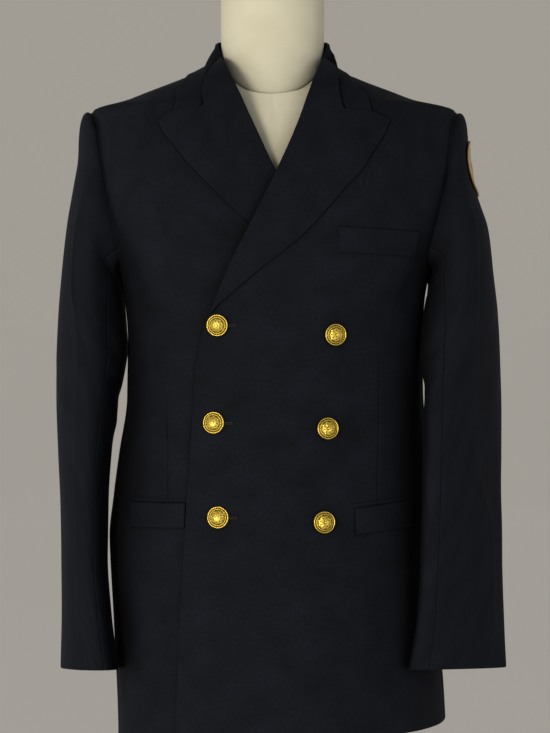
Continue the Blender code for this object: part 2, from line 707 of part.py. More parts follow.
def sleeve_ring(table, side, angle, height):
    # A turned ellipse inside its extents: x = c + h cos(a), y = c - h sin(a - turn).
    inner, outer = table_value(table, S_INNER, height), table_value(table, S_OUTER, height)
    front, back = table_value(table, S_FRONT, height), table_value(table, S_BACK, height)
    turn = np.radians(table_value(table, S_TURN, height))
    round_angle = np.radians(angle)
    across = (inner + outer) / 2 + (outer - inner) / 2 * np.cos(round_angle)
    depth = (back - front) / 2
    along = -depth * np.sin(round_angle - turn)
    level = height - table_value(table, S_SLOPE, height) * along
    return np.stack([side * across, (front + back) / 2 + along, level], axis=-1)


def armhole_point(side, angle):
    # The armhole, by an angle round it: 0 the shoulder tip, 90 the front, 180 under the arm.
    front = angle_curve(ARMHOLE_FRONT[::-1], side)
    under = angle_curve(ARMHOLE_UNDER, side)
    back = angle_curve(ARMHOLE_BACK, side)
    turn = np.asarray(angle, float) % 360
    first, last = UNDERARM_ANGLES
    at = np.where((turn < first)[..., None], front(np.clip(turn / first, 0, 1)),
                  under(np.clip((turn - first) / (last - first), 0, 1)))
    late = back(np.clip((turn - last) / (360 - last), 0, 1))
    return np.where((turn > last)[..., None], late, at)


def cap_end(angle):
    # The height where the head has run into the straight sleeve, round the sleeve.
    heights = np.array(CAP_END + CAP_END[:1], float)
    turn = np.asarray(angle, float) % 360
    index = np.minimum((turn // 90).astype(int), 3)
    share = turn / 90 - index
    ease = share * share * (3 - 2 * share)
    return heights[index] * (1 - ease) + heights[index + 1] * ease


def rested(points):
    # Distance d from the body becomes d - (d - gap) * exp(-((d - gap) / reach) ^ 2) times the share.
    share = np.interp(points[..., 2], REST_HEIGHTS, (0, 1, 1, 0))
    distance, outward = body_distance(points)
    spare = np.maximum(distance - REST_GAP, 0)
    move = share * spare * np.exp(-(spare / REST_REACH) ** 2)
    return points - (outward * np.array([1, 1, 0])) * move[..., None]


def sleeve_grid(table, side, angles, head_rows, arm_rows):
    # Rows from the armhole down to the cuff, columns round the sleeve by angle.
    seam = armhole_point(side, angles)
    start = body_point(seam[:, 0], seam[:, 1], np.full(len(angles), HEAD_SEAT))
    outward = body_normal(seam[:, 0], seam[:, 1])
    finish = cap_end(angles)
    stop = sleeve_ring(table, side, angles, finish)
    above = sleeve_ring(table, side, angles, finish + 2)
    rising = (above - stop) / np.linalg.norm(above - stop, axis=-1, keepdims=True)
    reach = np.linalg.norm(stop - start, axis=-1, keepdims=True)
    # Bezier curve from the seam to the straight sleeve.
    out = outward * HEAD_OUT
    out[:, 2] += HEAD_ROPE * np.cos(np.radians(angles))
    first = start + out * np.minimum(HEAD_PULL * reach, HEAD_PULL_LIMIT)
    second = stop + rising * ARM_PULL * reach
    t = head_rows[:, None, None]
    head = ((1 - t) ** 3 * start + 3 * t * (1 - t) ** 2 * first
            + 3 * t * t * (1 - t) * second + t ** 3 * stop)
    cuff = table[0, S_HEIGHT]
    levels = finish[None, :] + (cuff - finish[None, :]) * arm_rows[1:, None]
    arm = sleeve_ring(table, side, np.broadcast_to(angles, levels.shape), levels)
    return rested(np.concatenate([head, arm]))


def add_sleeve(side, table, names):
    # Each half's wall is turned in along the whole tube's normals, so the halves meet squarely.
    head_rows = even(6)
    arm_rows = np.concatenate([ARM_TOP_ROWS, np.linspace(ARM_TOP_ROWS[-1], 1, ARM_LOWER_ROWS)[1:]])
    near, far = UNDER_SLEEVE
    for name, first, last, columns in ((names[0], far - 360 + SLEEVE_GAP, near - SLEEVE_GAP, 15),
                                       (names[1], near + SLEEVE_GAP, far - SLEEVE_GAP, 7)):
        angles = np.linspace(first, last, columns)
        grid, ahead, behind = (sleeve_grid(table, side, angles + turn, head_rows, arm_rows)
                               for turn in (0.0, 1.5, -1.5))
        normal = np.cross(ahead - behind, np.gradient(grid, axis=0)) * side
        normal = normal / np.linalg.norm(normal, axis=-1, keepdims=True)
        add_wall(name, grid, grid - normal * WALL)


# What lies on the pieces

def add_flap(name, side, corners, seat, columns=5, rows=2):
    corners = np.array(corners, float)
    top = front_curve(corners[[0, 1]], side)
    bottom = front_curve(corners[[3, 2]], side)
    left = front_curve(corners[[3, 0]], side)
    right = front_curve(corners[[2, 1]], side)
    grid = patch(bottom, top, left, right, even(columns), even(rows))
    angle, height = grid[..., 0], grid[..., 1]
    base = ground(side, angle, height) + seat
    add_wall(name, body_point(angle, height, base + FLAP_WALL), body_point(angle, height, base))


def add_button(name, height, across, seat_gap):
    # Turned dome, square to the cloth it is sewn on.
    angle = angle_at(float(height), float(across))
    seat = body_point(angle, float(height), seat_gap)
    normal = body_normal(angle, float(height))
    sideways = np.cross(np.array([0, 0, 1.0]), normal)
    sideways = sideways / np.linalg.norm(sideways)
    upright = np.cross(normal, sideways)
    turn = np.linspace(0, 2 * np.pi, BUTTON_SEGMENTS, endpoint=False)
    circle = np.cos(turn)[:, None] * sideways + np.sin(turn)[:, None] * upright
    profile = [(BUTTON_BACK_RADIUS, 0.0)] + BUTTON_PROFILE
    rings = np.array([seat + circle * radius + normal * level for radius, level in profile])
    add_rings(name, rings, GILT, top=seat + normal * BUTTON_TOP)


def add_patch():
    # Badge on the outside of the wearer's left sleeve, following it.
    angles = np.linspace(*PATCH_ANGLES, 6)
    heights = np.linspace(*PATCH_HEIGHTS, 5)
    angle, height = np.meshgrid(angles, heights)
    add_wall("shoulder_patch", on_sleeve(SLEEVE_LEFT, angle, height, PATCH_SEAT + PATCH_WALL),
             on_sleeve(SLEEVE_LEFT, angle, height, PATCH_SEAT), PATCH_CLOTH)


def on_sleeve(table, angle, height, lift):
    point = sleeve_ring(table, 1, angle, height)
    ahead = sleeve_ring(table, 1, angle + 1, height) - sleeve_ring(table, 1, angle - 1, height)
    up = sleeve_ring(table, 1, angle, height + 1) - sleeve_ring(table, 1, angle, height - 1)
    normal = np.cross(up, ahead)
    normal = normal / np.linalg.norm(normal, axis=-1, keepdims=True)
    return point + normal * lift


# Dress form and stand

def height_over(across, along):
    # The height at which the body's surface passes over this place of the plan.
    low = np.full(np.shape(across), float(ARMHOLE_UNDER[0][0]))
    high = np.full(np.shape(across), float(COLLAR_FOLD[1][0]))
    for _ in range(HALVINGS):
        middle = (low + high) / 2
        wide, front, back, rounding = section(middle, across)
        deep = np.where(along < 0, front, back)
        inside = (np.abs(across) / wide) ** rounding + (np.abs(along) / deep) ** rounding < 1
        low, high = np.where(inside, middle, low), np.where(inside, high, middle)
    return low


def form_inset(angle, height):
    cosine = np.cos(np.radians(angle))
    side, front, back = (table_value(FORM, column, height) for column in (1, 2, 3))
    share = cosine ** 2
    return side * (1 - share) + np.where(cosine > 0, front, back) * share


def ellipse(shape, angle):
    wide, middle, deep = shape
    turn = np.radians(angle)
    return NECK_ASIDE + wide * np.sin(turn), middle - deep * np.cos(turn)


def neck_seam_ring(angle):
    # The seam dips towards the pit of the neck.
    across, along = ellipse(NECK_JOIN, angle)
    dip = np.maximum(0, np.cos(np.radians(angle))) ** 1.5
    return np.stack([across, along, NECK_JOIN_HEIGHT - NECK_JOIN_DIP * dip], axis=-1)


def add_form():
    angle = np.linspace(-180, 180, FORM_POINTS, endpoint=False)
    rings = []
    for height in (FORM_BOTTOM,) + FORM_RINGS:
        level = np.full(len(angle), float(height))
        rings.append(body_point(angle, level, -form_inset(angle, level)))
    rings[0][:, 2] = FORM_BOTTOM
    # Over the shoulders the rings shrink in plan to the neck's seam.
    last = raw_point(angle, np.full(len(angle), float(FORM_RINGS[-1])))
    foot_across, foot_along = ellipse(NECK_FOOT, angle)
    for share in SHOULDER_SHARES:
        across = last[:, 0] * (1 - share) + foot_across * share
        along = last[:, 1] * (1 - share) + foot_along * share
        height = height_over(across, along)
        points = np.stack([across, along, height], axis=-1)
        _, outward = body_distance(points)
        rings.append(points - outward * form_inset(angle, height)[:, None])
    seam = neck_seam_ring(angle)
    rings.append(seam)
    rings = np.array(rings)
    middle = seam.mean(axis=0)
    add_rings("form_torso", rings, FORM_CLOTH, top=middle)

    rise = np.array([0, 0, NECK_GAP])
    top_across, top_along = ellipse(NECK_TOP, angle)
    crown = np.stack([top_across, top_along, np.full(len(angle), float(FORM_TOP))], axis=-1)
    neck = []
    for share, pull in NECK_RINGS:
        ring = seam * (1 - share) + crown * share
        ring[:, :2] = seam[:, :2] * (1 - pull) + crown[:, :2] * pull
        neck.append(ring + rise)
    inner = crown.copy()
    axis = np.array([NECK_ASIDE, NECK_TOP[1]])
    inner[:, :2] = axis + (crown[:, :2] - axis) * NECK_ROUNDING
    neck.append(inner + rise)
    add_rings("form_neck", np.array(neck), FORM_CLOTH, bottom=middle + rise)


def add_turned(name, profile, look, segments):
    # Solid turned about the upright axis, from radius and height pairs.
    turn = np.linspace(0, 2 * np.pi, segments, endpoint=False)
    circle = np.stack([np.cos(turn), np.sin(turn), np.zeros(segments)], axis=-1)
    rings = np.array([circle * radius + np.array([0, 0, level]) for radius, level in profile])
    add_rings(name, rings, look)


def add_stand():
    pole_foot = BASE_HEIGHT + TOUCH_GAP
    pole_top = FORM_BOTTOM - TOUCH_GAP
    add_turned("form_pole", [(POLE_RADIUS, pole_foot), (POLE_RADIUS, pole_top)], STEEL, 20)
    add_turned("form_base", [(BASE_RADIUS - BASE_FOOT_EDGE, 0), (BASE_RADIUS, BASE_FOOT_EDGE),
                             (BASE_RADIUS, BASE_HEIGHT - BASE_EDGE),
                             (BASE_RADIUS - BASE_EDGE, BASE_HEIGHT)], STEEL, 48)


def main():
    for found in list(bpy.data.objects):
        bpy.data.objects.remove(found, do_unlink=True)
    for word, side in (("left", 1), ("right", -1)):
        add_back("back_" + word, side)
        add_side("side_" + word, side)
        add_front("front_" + word, side)
        add_lapel("lapel_" + word, side)
        table = SLEEVE_LEFT if side > 0 else SLEEVE_RIGHT
        add_sleeve(side, table, ("sleeve_top_" + word, "sleeve_under_" + word))
    add_collar()
    add_flap("flap_left", 1, FLAP_LEFT, FLAP_SEAT)
    add_flap("flap_right", -1, FLAP_RIGHT, FLAP_SEAT)
    add_flap("chest_welt", 1, WELT, WELT_SEAT)
    for number, button in enumerate(BUTTONS, 1):
        add_button("button_%d" % number, *button)
    add_patch()
    add_form()
    add_stand()


main()
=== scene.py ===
import math

import bpy
import numpy as np
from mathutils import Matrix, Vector


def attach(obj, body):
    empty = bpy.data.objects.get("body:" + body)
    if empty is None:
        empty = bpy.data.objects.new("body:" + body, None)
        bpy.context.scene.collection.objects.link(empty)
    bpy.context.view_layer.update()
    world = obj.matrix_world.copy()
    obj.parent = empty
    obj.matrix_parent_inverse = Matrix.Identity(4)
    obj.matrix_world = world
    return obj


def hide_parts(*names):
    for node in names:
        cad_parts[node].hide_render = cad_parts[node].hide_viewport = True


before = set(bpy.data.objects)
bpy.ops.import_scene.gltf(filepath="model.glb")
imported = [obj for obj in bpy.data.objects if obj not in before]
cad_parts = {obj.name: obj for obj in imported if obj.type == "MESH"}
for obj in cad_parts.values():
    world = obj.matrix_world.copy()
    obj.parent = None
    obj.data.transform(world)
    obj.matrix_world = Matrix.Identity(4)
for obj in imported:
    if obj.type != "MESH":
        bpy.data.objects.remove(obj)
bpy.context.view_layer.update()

# A double-breasted dress tunic of dark navy wool on a limbless dress form. Lengths in the dictionaries are
# in millimetres and angles in degrees, and each mesh is turned to metres when it is made.
# The coat faces -Y, and its wearer's left is on +X. Angles round the body start at the front: 90 is the
# wearer's left side, -90 the right side and 180 the back.

mm = 0.001
wall = 1.5
layer = 1.9  # a wall and the gap above it
hem = {1: 200, -1: 177}  # by side at the side seams: it hangs lower on the wearer's right
shoulderTip = 880
neckSeam = 933
print("frame loaded:", len(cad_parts), "nodes")


# Numbers

def tableValue(rows, column, at):
    # Monotone cubic through a table's rows, so nothing overshoots between two of them.
    knots, values = rows[:, 0], rows[:, column]
    at = np.asarray(at, float)
    widths = np.diff(knots)
    slopes = np.diff(values) / widths
    before, after = slopes[:-1], slopes[1:]
    same = before * after > 0
    w1, w2 = 2 * widths[1:] + widths[:-1], widths[1:] + 2 * widths[:-1]
    inner = np.zeros(len(before))
    inner[same] = (w1 + w2)[same] / (w1[same] / before[same] + w2[same] / after[same])
    tangents = np.concatenate([slopes[:1], inner, slopes[-1:]])
    i = np.clip(np.searchsorted(knots, at, side="right") - 1, 0, len(widths) - 1)
    u = np.clip((at - knots[i]) / widths[i], 0, 1)
    return ((1 + 2 * u) * (1 - u) ** 2 * values[i] + u * (1 - u) ** 2 * widths[i] * tangents[i]
            + u * u * (3 - 2 * u) * values[i + 1] + u * u * (u - 1) * widths[i] * tangents[i + 1])


def curve(points):
    # Cubic Hermite curve through points, as a function of the share of its length.
    points = np.asarray(points, float)
    lengths = np.concatenate([[0], np.cumsum(np.linalg.norm(np.diff(points, axis=0), axis=1))])
    knots = lengths / lengths[-1]
    tangents = np.gradient(points, knots, axis=0)

    def at(share):
        share = np.asarray(share, float)
        i = np.clip(np.searchsorted(knots, share, side="right") - 1, 0, len(knots) - 2)
        step = (knots[i + 1] - knots[i])[..., None]
        u = (share[..., None] - knots[i][..., None]) / step
        return ((1 + 2 * u) * (1 - u) ** 2 * points[i] + u * (1 - u) ** 2 * step * tangents[i]
                + u * u * (3 - 2 * u) * points[i + 1] + u * u * (u - 1) * step * tangents[i + 1])
    return at


def joined(first, second, corner):
    # Two curves run one after the other, with a corner at this share of the whole.
    def at(share):
        share = np.asarray(share, float)
        early = first(np.clip(share / corner, 0, 1))
        late = second(np.clip((share - corner) / (1 - corner), 0, 1))
        return np.where((share < corner)[..., None], early, late)
    return at


def line(first, second):
    return curve([first, second])


def coons(bottom, top, left, right, s, t):
    # Coons patch: the four border curves blended over s across and t up, less the corners counted twice.
    s3, t3 = s[..., None], t[..., None]
    corners = ((1 - s3) * (1 - t3) * bottom(0.0) + s3 * (1 - t3) * bottom(1.0)
               + (1 - s3) * t3 * top(0.0) + s3 * t3 * top(1.0))
    return (1 - t3) * bottom(s) + t3 * top(s) + (1 - s3) * left(t) + s3 * right(t) - corners


def steps(length, spacing, inset=0.0, knots=(), rim=(0.35, 0.8, 1.4, 2.2), lastInset=None):
    # Shares from inset to 1 - inset: even steps, closer ones by both ends, and steps on the knots.
    last = inset if lastInset is None else lastInset
    even = np.linspace(inset, 1 - last, int(length / spacing) + 2)
    edges = np.array(rim) / length
    fixed = np.concatenate([[inset, 1 - last], inset + edges, 1 - last - edges, np.array(knots, float)])
    even = even[np.min(np.abs(even[:, None] - fixed[None]), axis=1) > 0.45 * spacing / length]
    return np.sort(np.concatenate([even, fixed]))


def smooth(x):
    # Smoothstep: 0 below 0, 1 above 1.
    x = np.clip(x, 0, 1)
    return x * x * (3 - 2 * x)


def unit(vectors):
    return vectors / np.maximum(np.linalg.norm(vectors, axis=-1, keepdims=True), 1e-9)


# The body: half-width on the wearer's right and left, depth in front and behind, and the section's
# roundness, where 2 is an ellipse and more is squarer.
body = np.array([
    # height, right, left, front, back, round
    [190, 177, 193, 139, 130, 2.10],
    [240, 179, 190, 138, 130, 2.10],
    [300, 182, 184, 136, 128, 2.10],
    [400, 186, 179, 132, 124, 2.10],
    [450, 180, 177, 129, 118, 2.10],
    [500, 173.5, 173, 125, 106, 2.10],
    [556, 166.5, 167, 121, 93, 2.15],
    [620, 166, 166, 121, 89, 2.20],
    [669, 170, 169, 125, 95, 2.30],
    [705, 177, 176, 129, 104, 2.45],
    [746, 189, 188, 129, 112, 2.65],
    [800, 199, 199, 121, 115, 2.75],
    [850, 204, 204, 106, 104, 2.55],
    [880, 205, 203, 93, 92, 2.35],
    [890, 173, 163, 87, 87, 2.27],
    [900, 148, 136.5, 81, 82, 2.20],
    [915, 110, 98, 70, 73, 2.10],
    [933, 66, 60, 59, 60, 2.00],
    [947, 65, 59.2, 57, 58, 2.00],
    [985, 64.6, 58.8, 56, 57, 2.00],
])
rightColumn, leftColumn, frontColumn, backColumn, roundColumn = range(1, 6)


def section(height, side):
    # Half-width on this side, depth in front and behind, and roundness.
    wide = np.where(np.asarray(side) < 0, tableValue(body, rightColumn, height),
                    tableValue(body, leftColumn, height))
    return (wide, tableValue(body, frontColumn, height), tableValue(body, backColumn, height),
            tableValue(body, roundColumn, height))


def rawPoint(angle, height):
    # Superellipse: x = W sin^(2/n), y = -D cos^(2/n), with its own D in front and behind.
    turn = np.radians(angle)
    sine, cosine = np.sin(turn), np.cos(turn)
    wide, front, back, rounding = section(height, sine)
    deep = np.where(cosine >= 0, front, back)
    x = wide * np.sign(sine) * np.abs(sine) ** (2 / rounding)
    y = -deep * np.sign(cosine) * np.abs(cosine) ** (2 / rounding)
    return np.stack([x, y, height * np.ones_like(x)], axis=-1)


def bodyReach(points, side, rear):
    # How far a point lies from the axis, as a share of the section's own reach: 1 on the surface.
    wide, front, back, rounding = section(points[..., 2], side)
    deep = np.where(rear, back, front)
    return ((np.abs(points[..., 0]) / wide) ** rounding
            + (np.abs(points[..., 1]) / deep) ** rounding) ** (1 / rounding)


def bodyNormal(angle, height):
    # Outward, from the slope of the surface's reach.
    point = rawPoint(angle, height)
    side, rear = np.sign(np.sin(np.radians(angle))), np.cos(np.radians(angle)) < 0
    return unit(np.stack([bodyReach(point + axis, side, rear) - bodyReach(point - axis, side, rear)
                          for axis in np.eye(3)], axis=-1))


def bodyPoint(angle, height, lift=0.0):
    # A point of the body's surface, moved out along its normal.
    return rawPoint(angle, height) + bodyNormal(angle, height) * np.asarray(lift, float)[..., None]


def bodyDistance(points):
    # Distance outside the body's surface, and the way out there.
    side, rear = points[..., 0], points[..., 1] >= 0
    slope = np.stack([bodyReach(points + axis, side, rear) - bodyReach(points - axis, side, rear)
                      for axis in np.eye(3)], axis=-1) / 2
    steep = np.linalg.norm(slope, axis=-1, keepdims=True)
    return (bodyReach(points, side, rear) - 1) / steep[..., 0], slope / steep


def liftedClear(points, least):
    # Points nearer to the body's surface than this are moved straight out.
    for _ in range(2):
        distance, outward = bodyDistance(points)
        points = points + outward * np.maximum(least - distance, 0)[..., None]
    return points


def angleAt(height, across):
    # The angle of the front point that lies this far from the middle.
    wide, _, _, rounding = section(height, across)
    share = np.clip(np.abs(across) / wide, 0, 1)
    return np.sign(across) * np.degrees(np.arcsin(share ** (rounding / 2)))


def flatCurve(rows):
    # Rows of height and distance, as a curve of distance and height seen from straight ahead.
    return curve(np.array(rows, float)[:, ::-1])


def frontCurve(rows, side):
    # Rows of height and distance towards this side, as a curve of angle and height.
    flat = flatCurve(rows)

    def at(share):
        point = flat(share)
        return np.stack([angleAt(point[..., 1], side * point[..., 0]), point[..., 1]], axis=-1)
    return at


def angleCurve(rows, side):
    # Rows of height and angle towards this side, as a curve of angle and height.
    rows = np.array(rows, float)
    return curve(np.stack([side * rows[:, 1], rows[:, 0]], axis=1))


# Creases of the worn cloth: soft ridges, or troughs where the depth is below 0

def creaseRelief(points, paths):
    # Over each path: depth * exp(-(distance / width) ^ 2), faded to nothing at its two ends.
    total = np.zeros(points.shape[:-1])
    flat = points.reshape(-1, 3)
    for path, depth, width in paths:
        near = np.full(len(flat), 1e9)
        place = np.zeros(len(flat))
        legs = len(path) - 1
        for i in range(legs):
            a, b = path[i], path[i + 1]
            run = b - a
            share = np.clip((flat - a) @ run / (run @ run), 0, 1)
            distance = np.linalg.norm(flat - a - share[:, None] * run, axis=1)
            closer = distance < near
            near = np.where(closer, distance, near)
            place = np.where(closer, (i + share) / legs, place)
        fade = np.sin(np.pi * np.clip(place, 0, 1)) ** 0.8
        shape = np.exp(-(near / width) ** 2)
        total += (depth * shape * fade).reshape(total.shape)
    return total


unevenness = {"depth": 0.34, "wavelengths": (74, 103, 139, 188, 251), "seed": 7}


def unevenRelief(points):
    # Sum of slow sine waves in fixed directions, the longest the deepest.
    draw = np.random.default_rng(unevenness["seed"])
    total = np.zeros(points.shape[:-1])
    for wavelength in unevenness["wavelengths"]:
        way = unit(draw.normal(size=3) * np.array([1.0, 1.0, 0.6]))
        size = unevenness["depth"] * (wavelength / 188) ** 0.8
        total += size * np.sin(2 * np.pi * points @ way / wavelength + draw.uniform(0, 2 * np.pi))
    return total


bodyCreases = [
    # start, middle and end as angle and height, then depth and half-width
    ((65, 722), (56, 672), (47, 612), -1.9, 15),
    ((73, 700), (68, 640), (66, 575), 1.6, 13),
    ((-65, 720), (-57, 668), (-50, 600), -1.7, 14),
    ((-72, 698), (-69, 630), (-70, 560), 1.7, 14),
    ((58, 800), (44, 782), (33, 772), 0.9, 13),
    ((-58, 795), (-45, 772), (-36, 750), 0.9, 14),
    ((56, 430), (53, 330), (51, 190), 2.2, 20),
    ((38, 420), (36, 320), (37, 190), -1.5, 24),
    ((-58, 428), (-55, 320), (-54, 190), 1.9, 19),
    ((-43, 410), (-42, 300), (-43, 190), -1.4, 20),
    ((14, 410), (10, 300), (9, 190), 1.2, 26),
    ((82, 560), (90, 470), (97, 330), 1.8, 16),
    ((-84, 555), (-92, 455), (-96, 320), 1.7, 17),
    ((-1.5, 806), (-9.5, 728), (-25, 640), -2.8, 6),
    ((-21, 641), (-13, 651), (-4, 655), 0.7, 7),
    ((-20, 536), (-10, 532), (1, 526), 0.6, 8),
    ((22, 629), (29, 640), (36, 655), 0.6, 8),
    ((120, 735), (135, 748), (152, 772), -1.6, 15),
    ((-119, 732), (-133, 740), (-149, 760), -1.8, 16),
    ((126, 690), (142, 672), (158, 668), 1.2, 12),
    ((-125, 700), (-143, 684), (-160, 676), 1.3, 13),
    ((132, 612), (152, 600), (172, 604), -1.3, 11),
    ((-130, 604), (-150, 590), (-171, 594), -1.4, 12),
    ((136, 585), (155, 572), (174, 577), 1.1, 10),
    ((-136, 575), (-156, 562), (-175, 568), 1.0, 11),
    ((150, 480), (147, 340), (146, 190), 2.0, 24),
    ((-152, 470), (-150, 330), (-148, 190), 2.1, 22),
    ((168, 450), (168, 320), (169, 190), -1.3, 20),
    ((-169, 440), (-168, 310), (-168, 190), -1.2, 18),
]


def creasePaths(rows, surface, count):
    # A curve through each row's three points, laid on a surface, with the row's depth and half-width.
    return [(surface(*curve(row[:3])(np.linspace(0, 1, count)).T), row[3], row[4]) for row in rows]


bodyPaths = creasePaths(bodyCreases, bodyPoint, 15)


def bodyRelief(points):
    # Creases and unevenness, which die away where the shoulders and the neck begin.
    calm = 1 - smooth((points[..., 2] - 820) / 90)
    return creaseRelief(points, bodyPaths) + unevenRelief(points) * calm


# Meshes

def gridFaces(rows, columns):
    # Quads of a grid, row by row.
    i = (np.arange(rows - 1)[:, None] * columns + np.arange(columns - 1)[None]).ravel()
    return np.stack([i, i + 1, i + columns + 1, i + columns], axis=1)


def makeObject(name, points, faces, material, uv=None, shade=None):
    # One mesh from points in millimetres and quads or triangles; uv in metres of cloth for each point,
    # shade as a 0 to 1 value for each point. Turned over if its volume comes out negative.
    faces = [tuple(int(i) for i in face) for face in faces]
    triangles = np.array([face[:3] for face in faces] + [(f[0], f[2], f[3]) for f in faces if len(f) == 4])
    a, b, c = (points[triangles[:, k]] for k in range(3))
    if np.einsum("ij,ij->", a, np.cross(b, c)) < 0:
        faces = [face[::-1] for face in faces]
    mesh = bpy.data.meshes.new(name)
    mesh.from_pydata((points * mm).tolist(), [], faces)
    loops = np.zeros(len(mesh.loops), np.int32)
    mesh.loops.foreach_get("vertex_index", loops)
    if uv is not None:
        layerUv = mesh.uv_layers.new(name="cloth")
        layerUv.data.foreach_set("uv", uv[loops].astype(np.float32).ravel())
    if shade is not None:
        attribute = mesh.attributes.new("shade", "FLOAT", "POINT")
        attribute.data.foreach_set("value", shade.astype(np.float32))
    mesh.materials.append(material)
    mesh.shade_smooth()
    mesh.set_sharp_from_angle(angle=math.radians(50))
    made = bpy.data.objects.new(name, mesh)
    bpy.context.scene.collection.objects.link(made)
    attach(made, "root")
    return made


def borderDistances(grid):
    # Millimetres from each grid point to the left, right, bottom and top border, along the grid's lines.
    across = np.concatenate([np.zeros((len(grid), 1)),
                             np.cumsum(np.linalg.norm(np.diff(grid, axis=1), axis=2), axis=1)], axis=1)
    up = np.concatenate([np.zeros((1, grid.shape[1])),
                         np.cumsum(np.linalg.norm(np.diff(grid, axis=0), axis=2), axis=0)])
    return across, across[:, -1:] - across, up, up[-1:] - up


# How an edge sinks: turned in at a seam, or pressed over a fold. Depth and reach.
edgeKinds = {"seam": (1.15, 1.2), "pressed": (0.45, 0.8), "fold": (0.62, 0.8), "none": (0.0, 1.0)}
deepest = 1.3


def edgeDrop(grid, edges):
    # Sum over the four borders of depth * exp(-(distance / reach) ^ 2).
    drop = np.zeros(grid.shape[:2])
    for distance, kind in zip(borderDistances(grid), edges):
        depth, reach = edgeKinds[kind]
        drop += depth * np.exp(-(distance / reach) ** 2)
    return np.minimum(drop, deepest)


def flatArea(grid):
    # Area of the grid's quads, in square metres.
    a, b = grid[1:, 1:] - grid[:-1, :-1], grid[1:, :-1] - grid[:-1, 1:]
    return float(np.linalg.norm(np.cross(a, b), axis=2).sum() / 2) * mm * mm


def addShell(name, outer, inner):
    # Closed thin shell: the outer and inner grids and a band of quads round their border. It works out
    # the sheet's width, length and area, which nothing uses.
    rows, columns = outer.shape[:2]
    count = rows * columns
    order = np.arange(count).reshape(rows, columns)
    border = np.concatenate([order[0], order[1:, -1], order[-1, -2::-1], order[-2:0:-1, 0]])
    after = np.roll(border, -1)
    faces = np.concatenate([gridFaces(rows, columns), gridFaces(rows, columns)[:, ::-1] + count,
                            np.stack([after, border, border + count, after + count], axis=1)])
    points = np.concatenate([outer.reshape(-1, 3), inner.reshape(-1, 3)])
    across, _, up, _ = borderDistances(outer)
    across = across - across[:, columns // 2:columns // 2 + 1]
    uv = np.stack([across, up], axis=-1).reshape(-1, 2) * mm
    made = makeObject(name + "_cloth", points, faces, clothWool, uv=np.concatenate([uv, uv]))
    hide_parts(name)
    width, length = float(np.ptp(across, axis=1).max()) * mm, float(up[-1].max()) * mm
    area = flatArea(outer)
    if area > width * length:
        length = area / width


def ringMesh(node, word, rings, material, shade=None):
    # Closed solid through rings of points from one pole to the other; the end rings are single points.
    # It stands for the node.
    count, around = rings.shape[:2]
    points = np.concatenate([rings[0, :1], rings[1:-1].reshape(-1, 3), rings[-1, :1]])
    i = 1 + (np.arange(count - 3)[:, None] * around + np.arange(around)[None])
    j = 1 + (np.arange(count - 3)[:, None] * around + (np.arange(around)[None] + 1) % around)
    quads = np.stack([i, j, j + around, i + around], axis=-1).reshape(-1, 4)
    first = 1 + np.arange(around)
    last = first + (count - 3) * around
    ends = [(0, b, a) for a, b in zip(first, np.roll(first, -1))]
    ends += [(len(points) - 1, a, b) for a, b in zip(last, np.roll(last, -1))]
    if shade is not None:
        shade = np.concatenate([shade[0, :1], shade[1:-1].ravel(), shade[-1, :1]])
    made = makeObject(node + "_" + word, points, list(map(tuple, quads)) + ends, material, shade=shade)
    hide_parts(node)
    return made


# Materials

def linear(code):
    # sRGB hex colour to linear light.
    values = [int(code[i:i + 2], 16) / 255 for i in (1, 3, 5)]
    return tuple(v / 12.92 if v <= 0.04045 else ((v + 0.055) / 1.055) ** 2.4 for v in values) + (1.0,)


def setInputs(tree, node, inputs):
    # A (node, output) pair is linked, and any other value is set.
    for socket, value in inputs.items():
        if isinstance(value, tuple) and hasattr(value[0], "outputs"):
            tree.links.new(value[0].outputs[value[1]], node.inputs[socket])
        else:
            node.inputs[socket].default_value = value


def addNode(tree, kind, inputs, **settings):
    node = tree.nodes.new(kind)
    for key, value in settings.items():
        setattr(node, key, value)
    setInputs(tree, node, inputs)
    return node


def startMaterial(name, kind="ShaderNodeTexCoord", output="Object", **settings):
    # The material, its tree and shader, and the place on the piece.
    made = bpy.data.materials.new(name)
    made.use_nodes = True
    tree = made.node_tree
    return made, tree, tree.nodes["Principled BSDF"], (addNode(tree, kind, {}, **settings), output)


def noise(tree, place, scale, detail, roughness=0.5):
    return (addNode(tree, "ShaderNodeTexNoise", {"Vector": place, "Scale": scale, "Detail": detail,
                                                 "Roughness": roughness}), "Fac")


def bands(tree, place, way, period, distortion, detail=2.0):
    # Sine bands this many millimetres apart: one band of a Wave Texture is 2 pi / 20 units long.
    return (addNode(tree, "ShaderNodeTexWave",
                    {"Vector": place, "Scale": 2 * math.pi / (20 * period * mm), "Distortion": distortion,
                     "Detail": detail}, wave_type="BANDS", bands_direction=way), "Fac")


def ramp(tree, source, stops):
    # Colour ramp through stops of position and sRGB colour.
    made = addNode(tree, "ShaderNodeValToRGB", {"Fac": source})
    elements = made.color_ramp.elements
    for element, (position, colour) in zip(elements, (stops[0], stops[-1])):
        element.position, element.color = position, linear(colour)
    for position, colour in stops[1:-1]:
        elements.new(position).color = linear(colour)
    return made, "Color"


def bump(tree, height, strength, distance, under=None):
    inputs = {"Height": height, "Strength": strength, "Distance": distance * mm}
    return (addNode(tree, "ShaderNodeBump", inputs | ({"Normal": under} if under else {})), "Normal")


def combine(tree, operation, first, second):
    return addNode(tree, "ShaderNodeMath", {0: first, 1: second}, operation=operation), "Value"


def between(tree, source, low, high):
    return addNode(tree, "ShaderNodeMapRange", {"Value": source, "To Min": low, "To Max": high}), "Result"


def scaled(tree, colour, share):
    return addNode(tree, "ShaderNodeVectorMath", {0: colour, "Scale": share}, operation="SCALE"), "Vector"


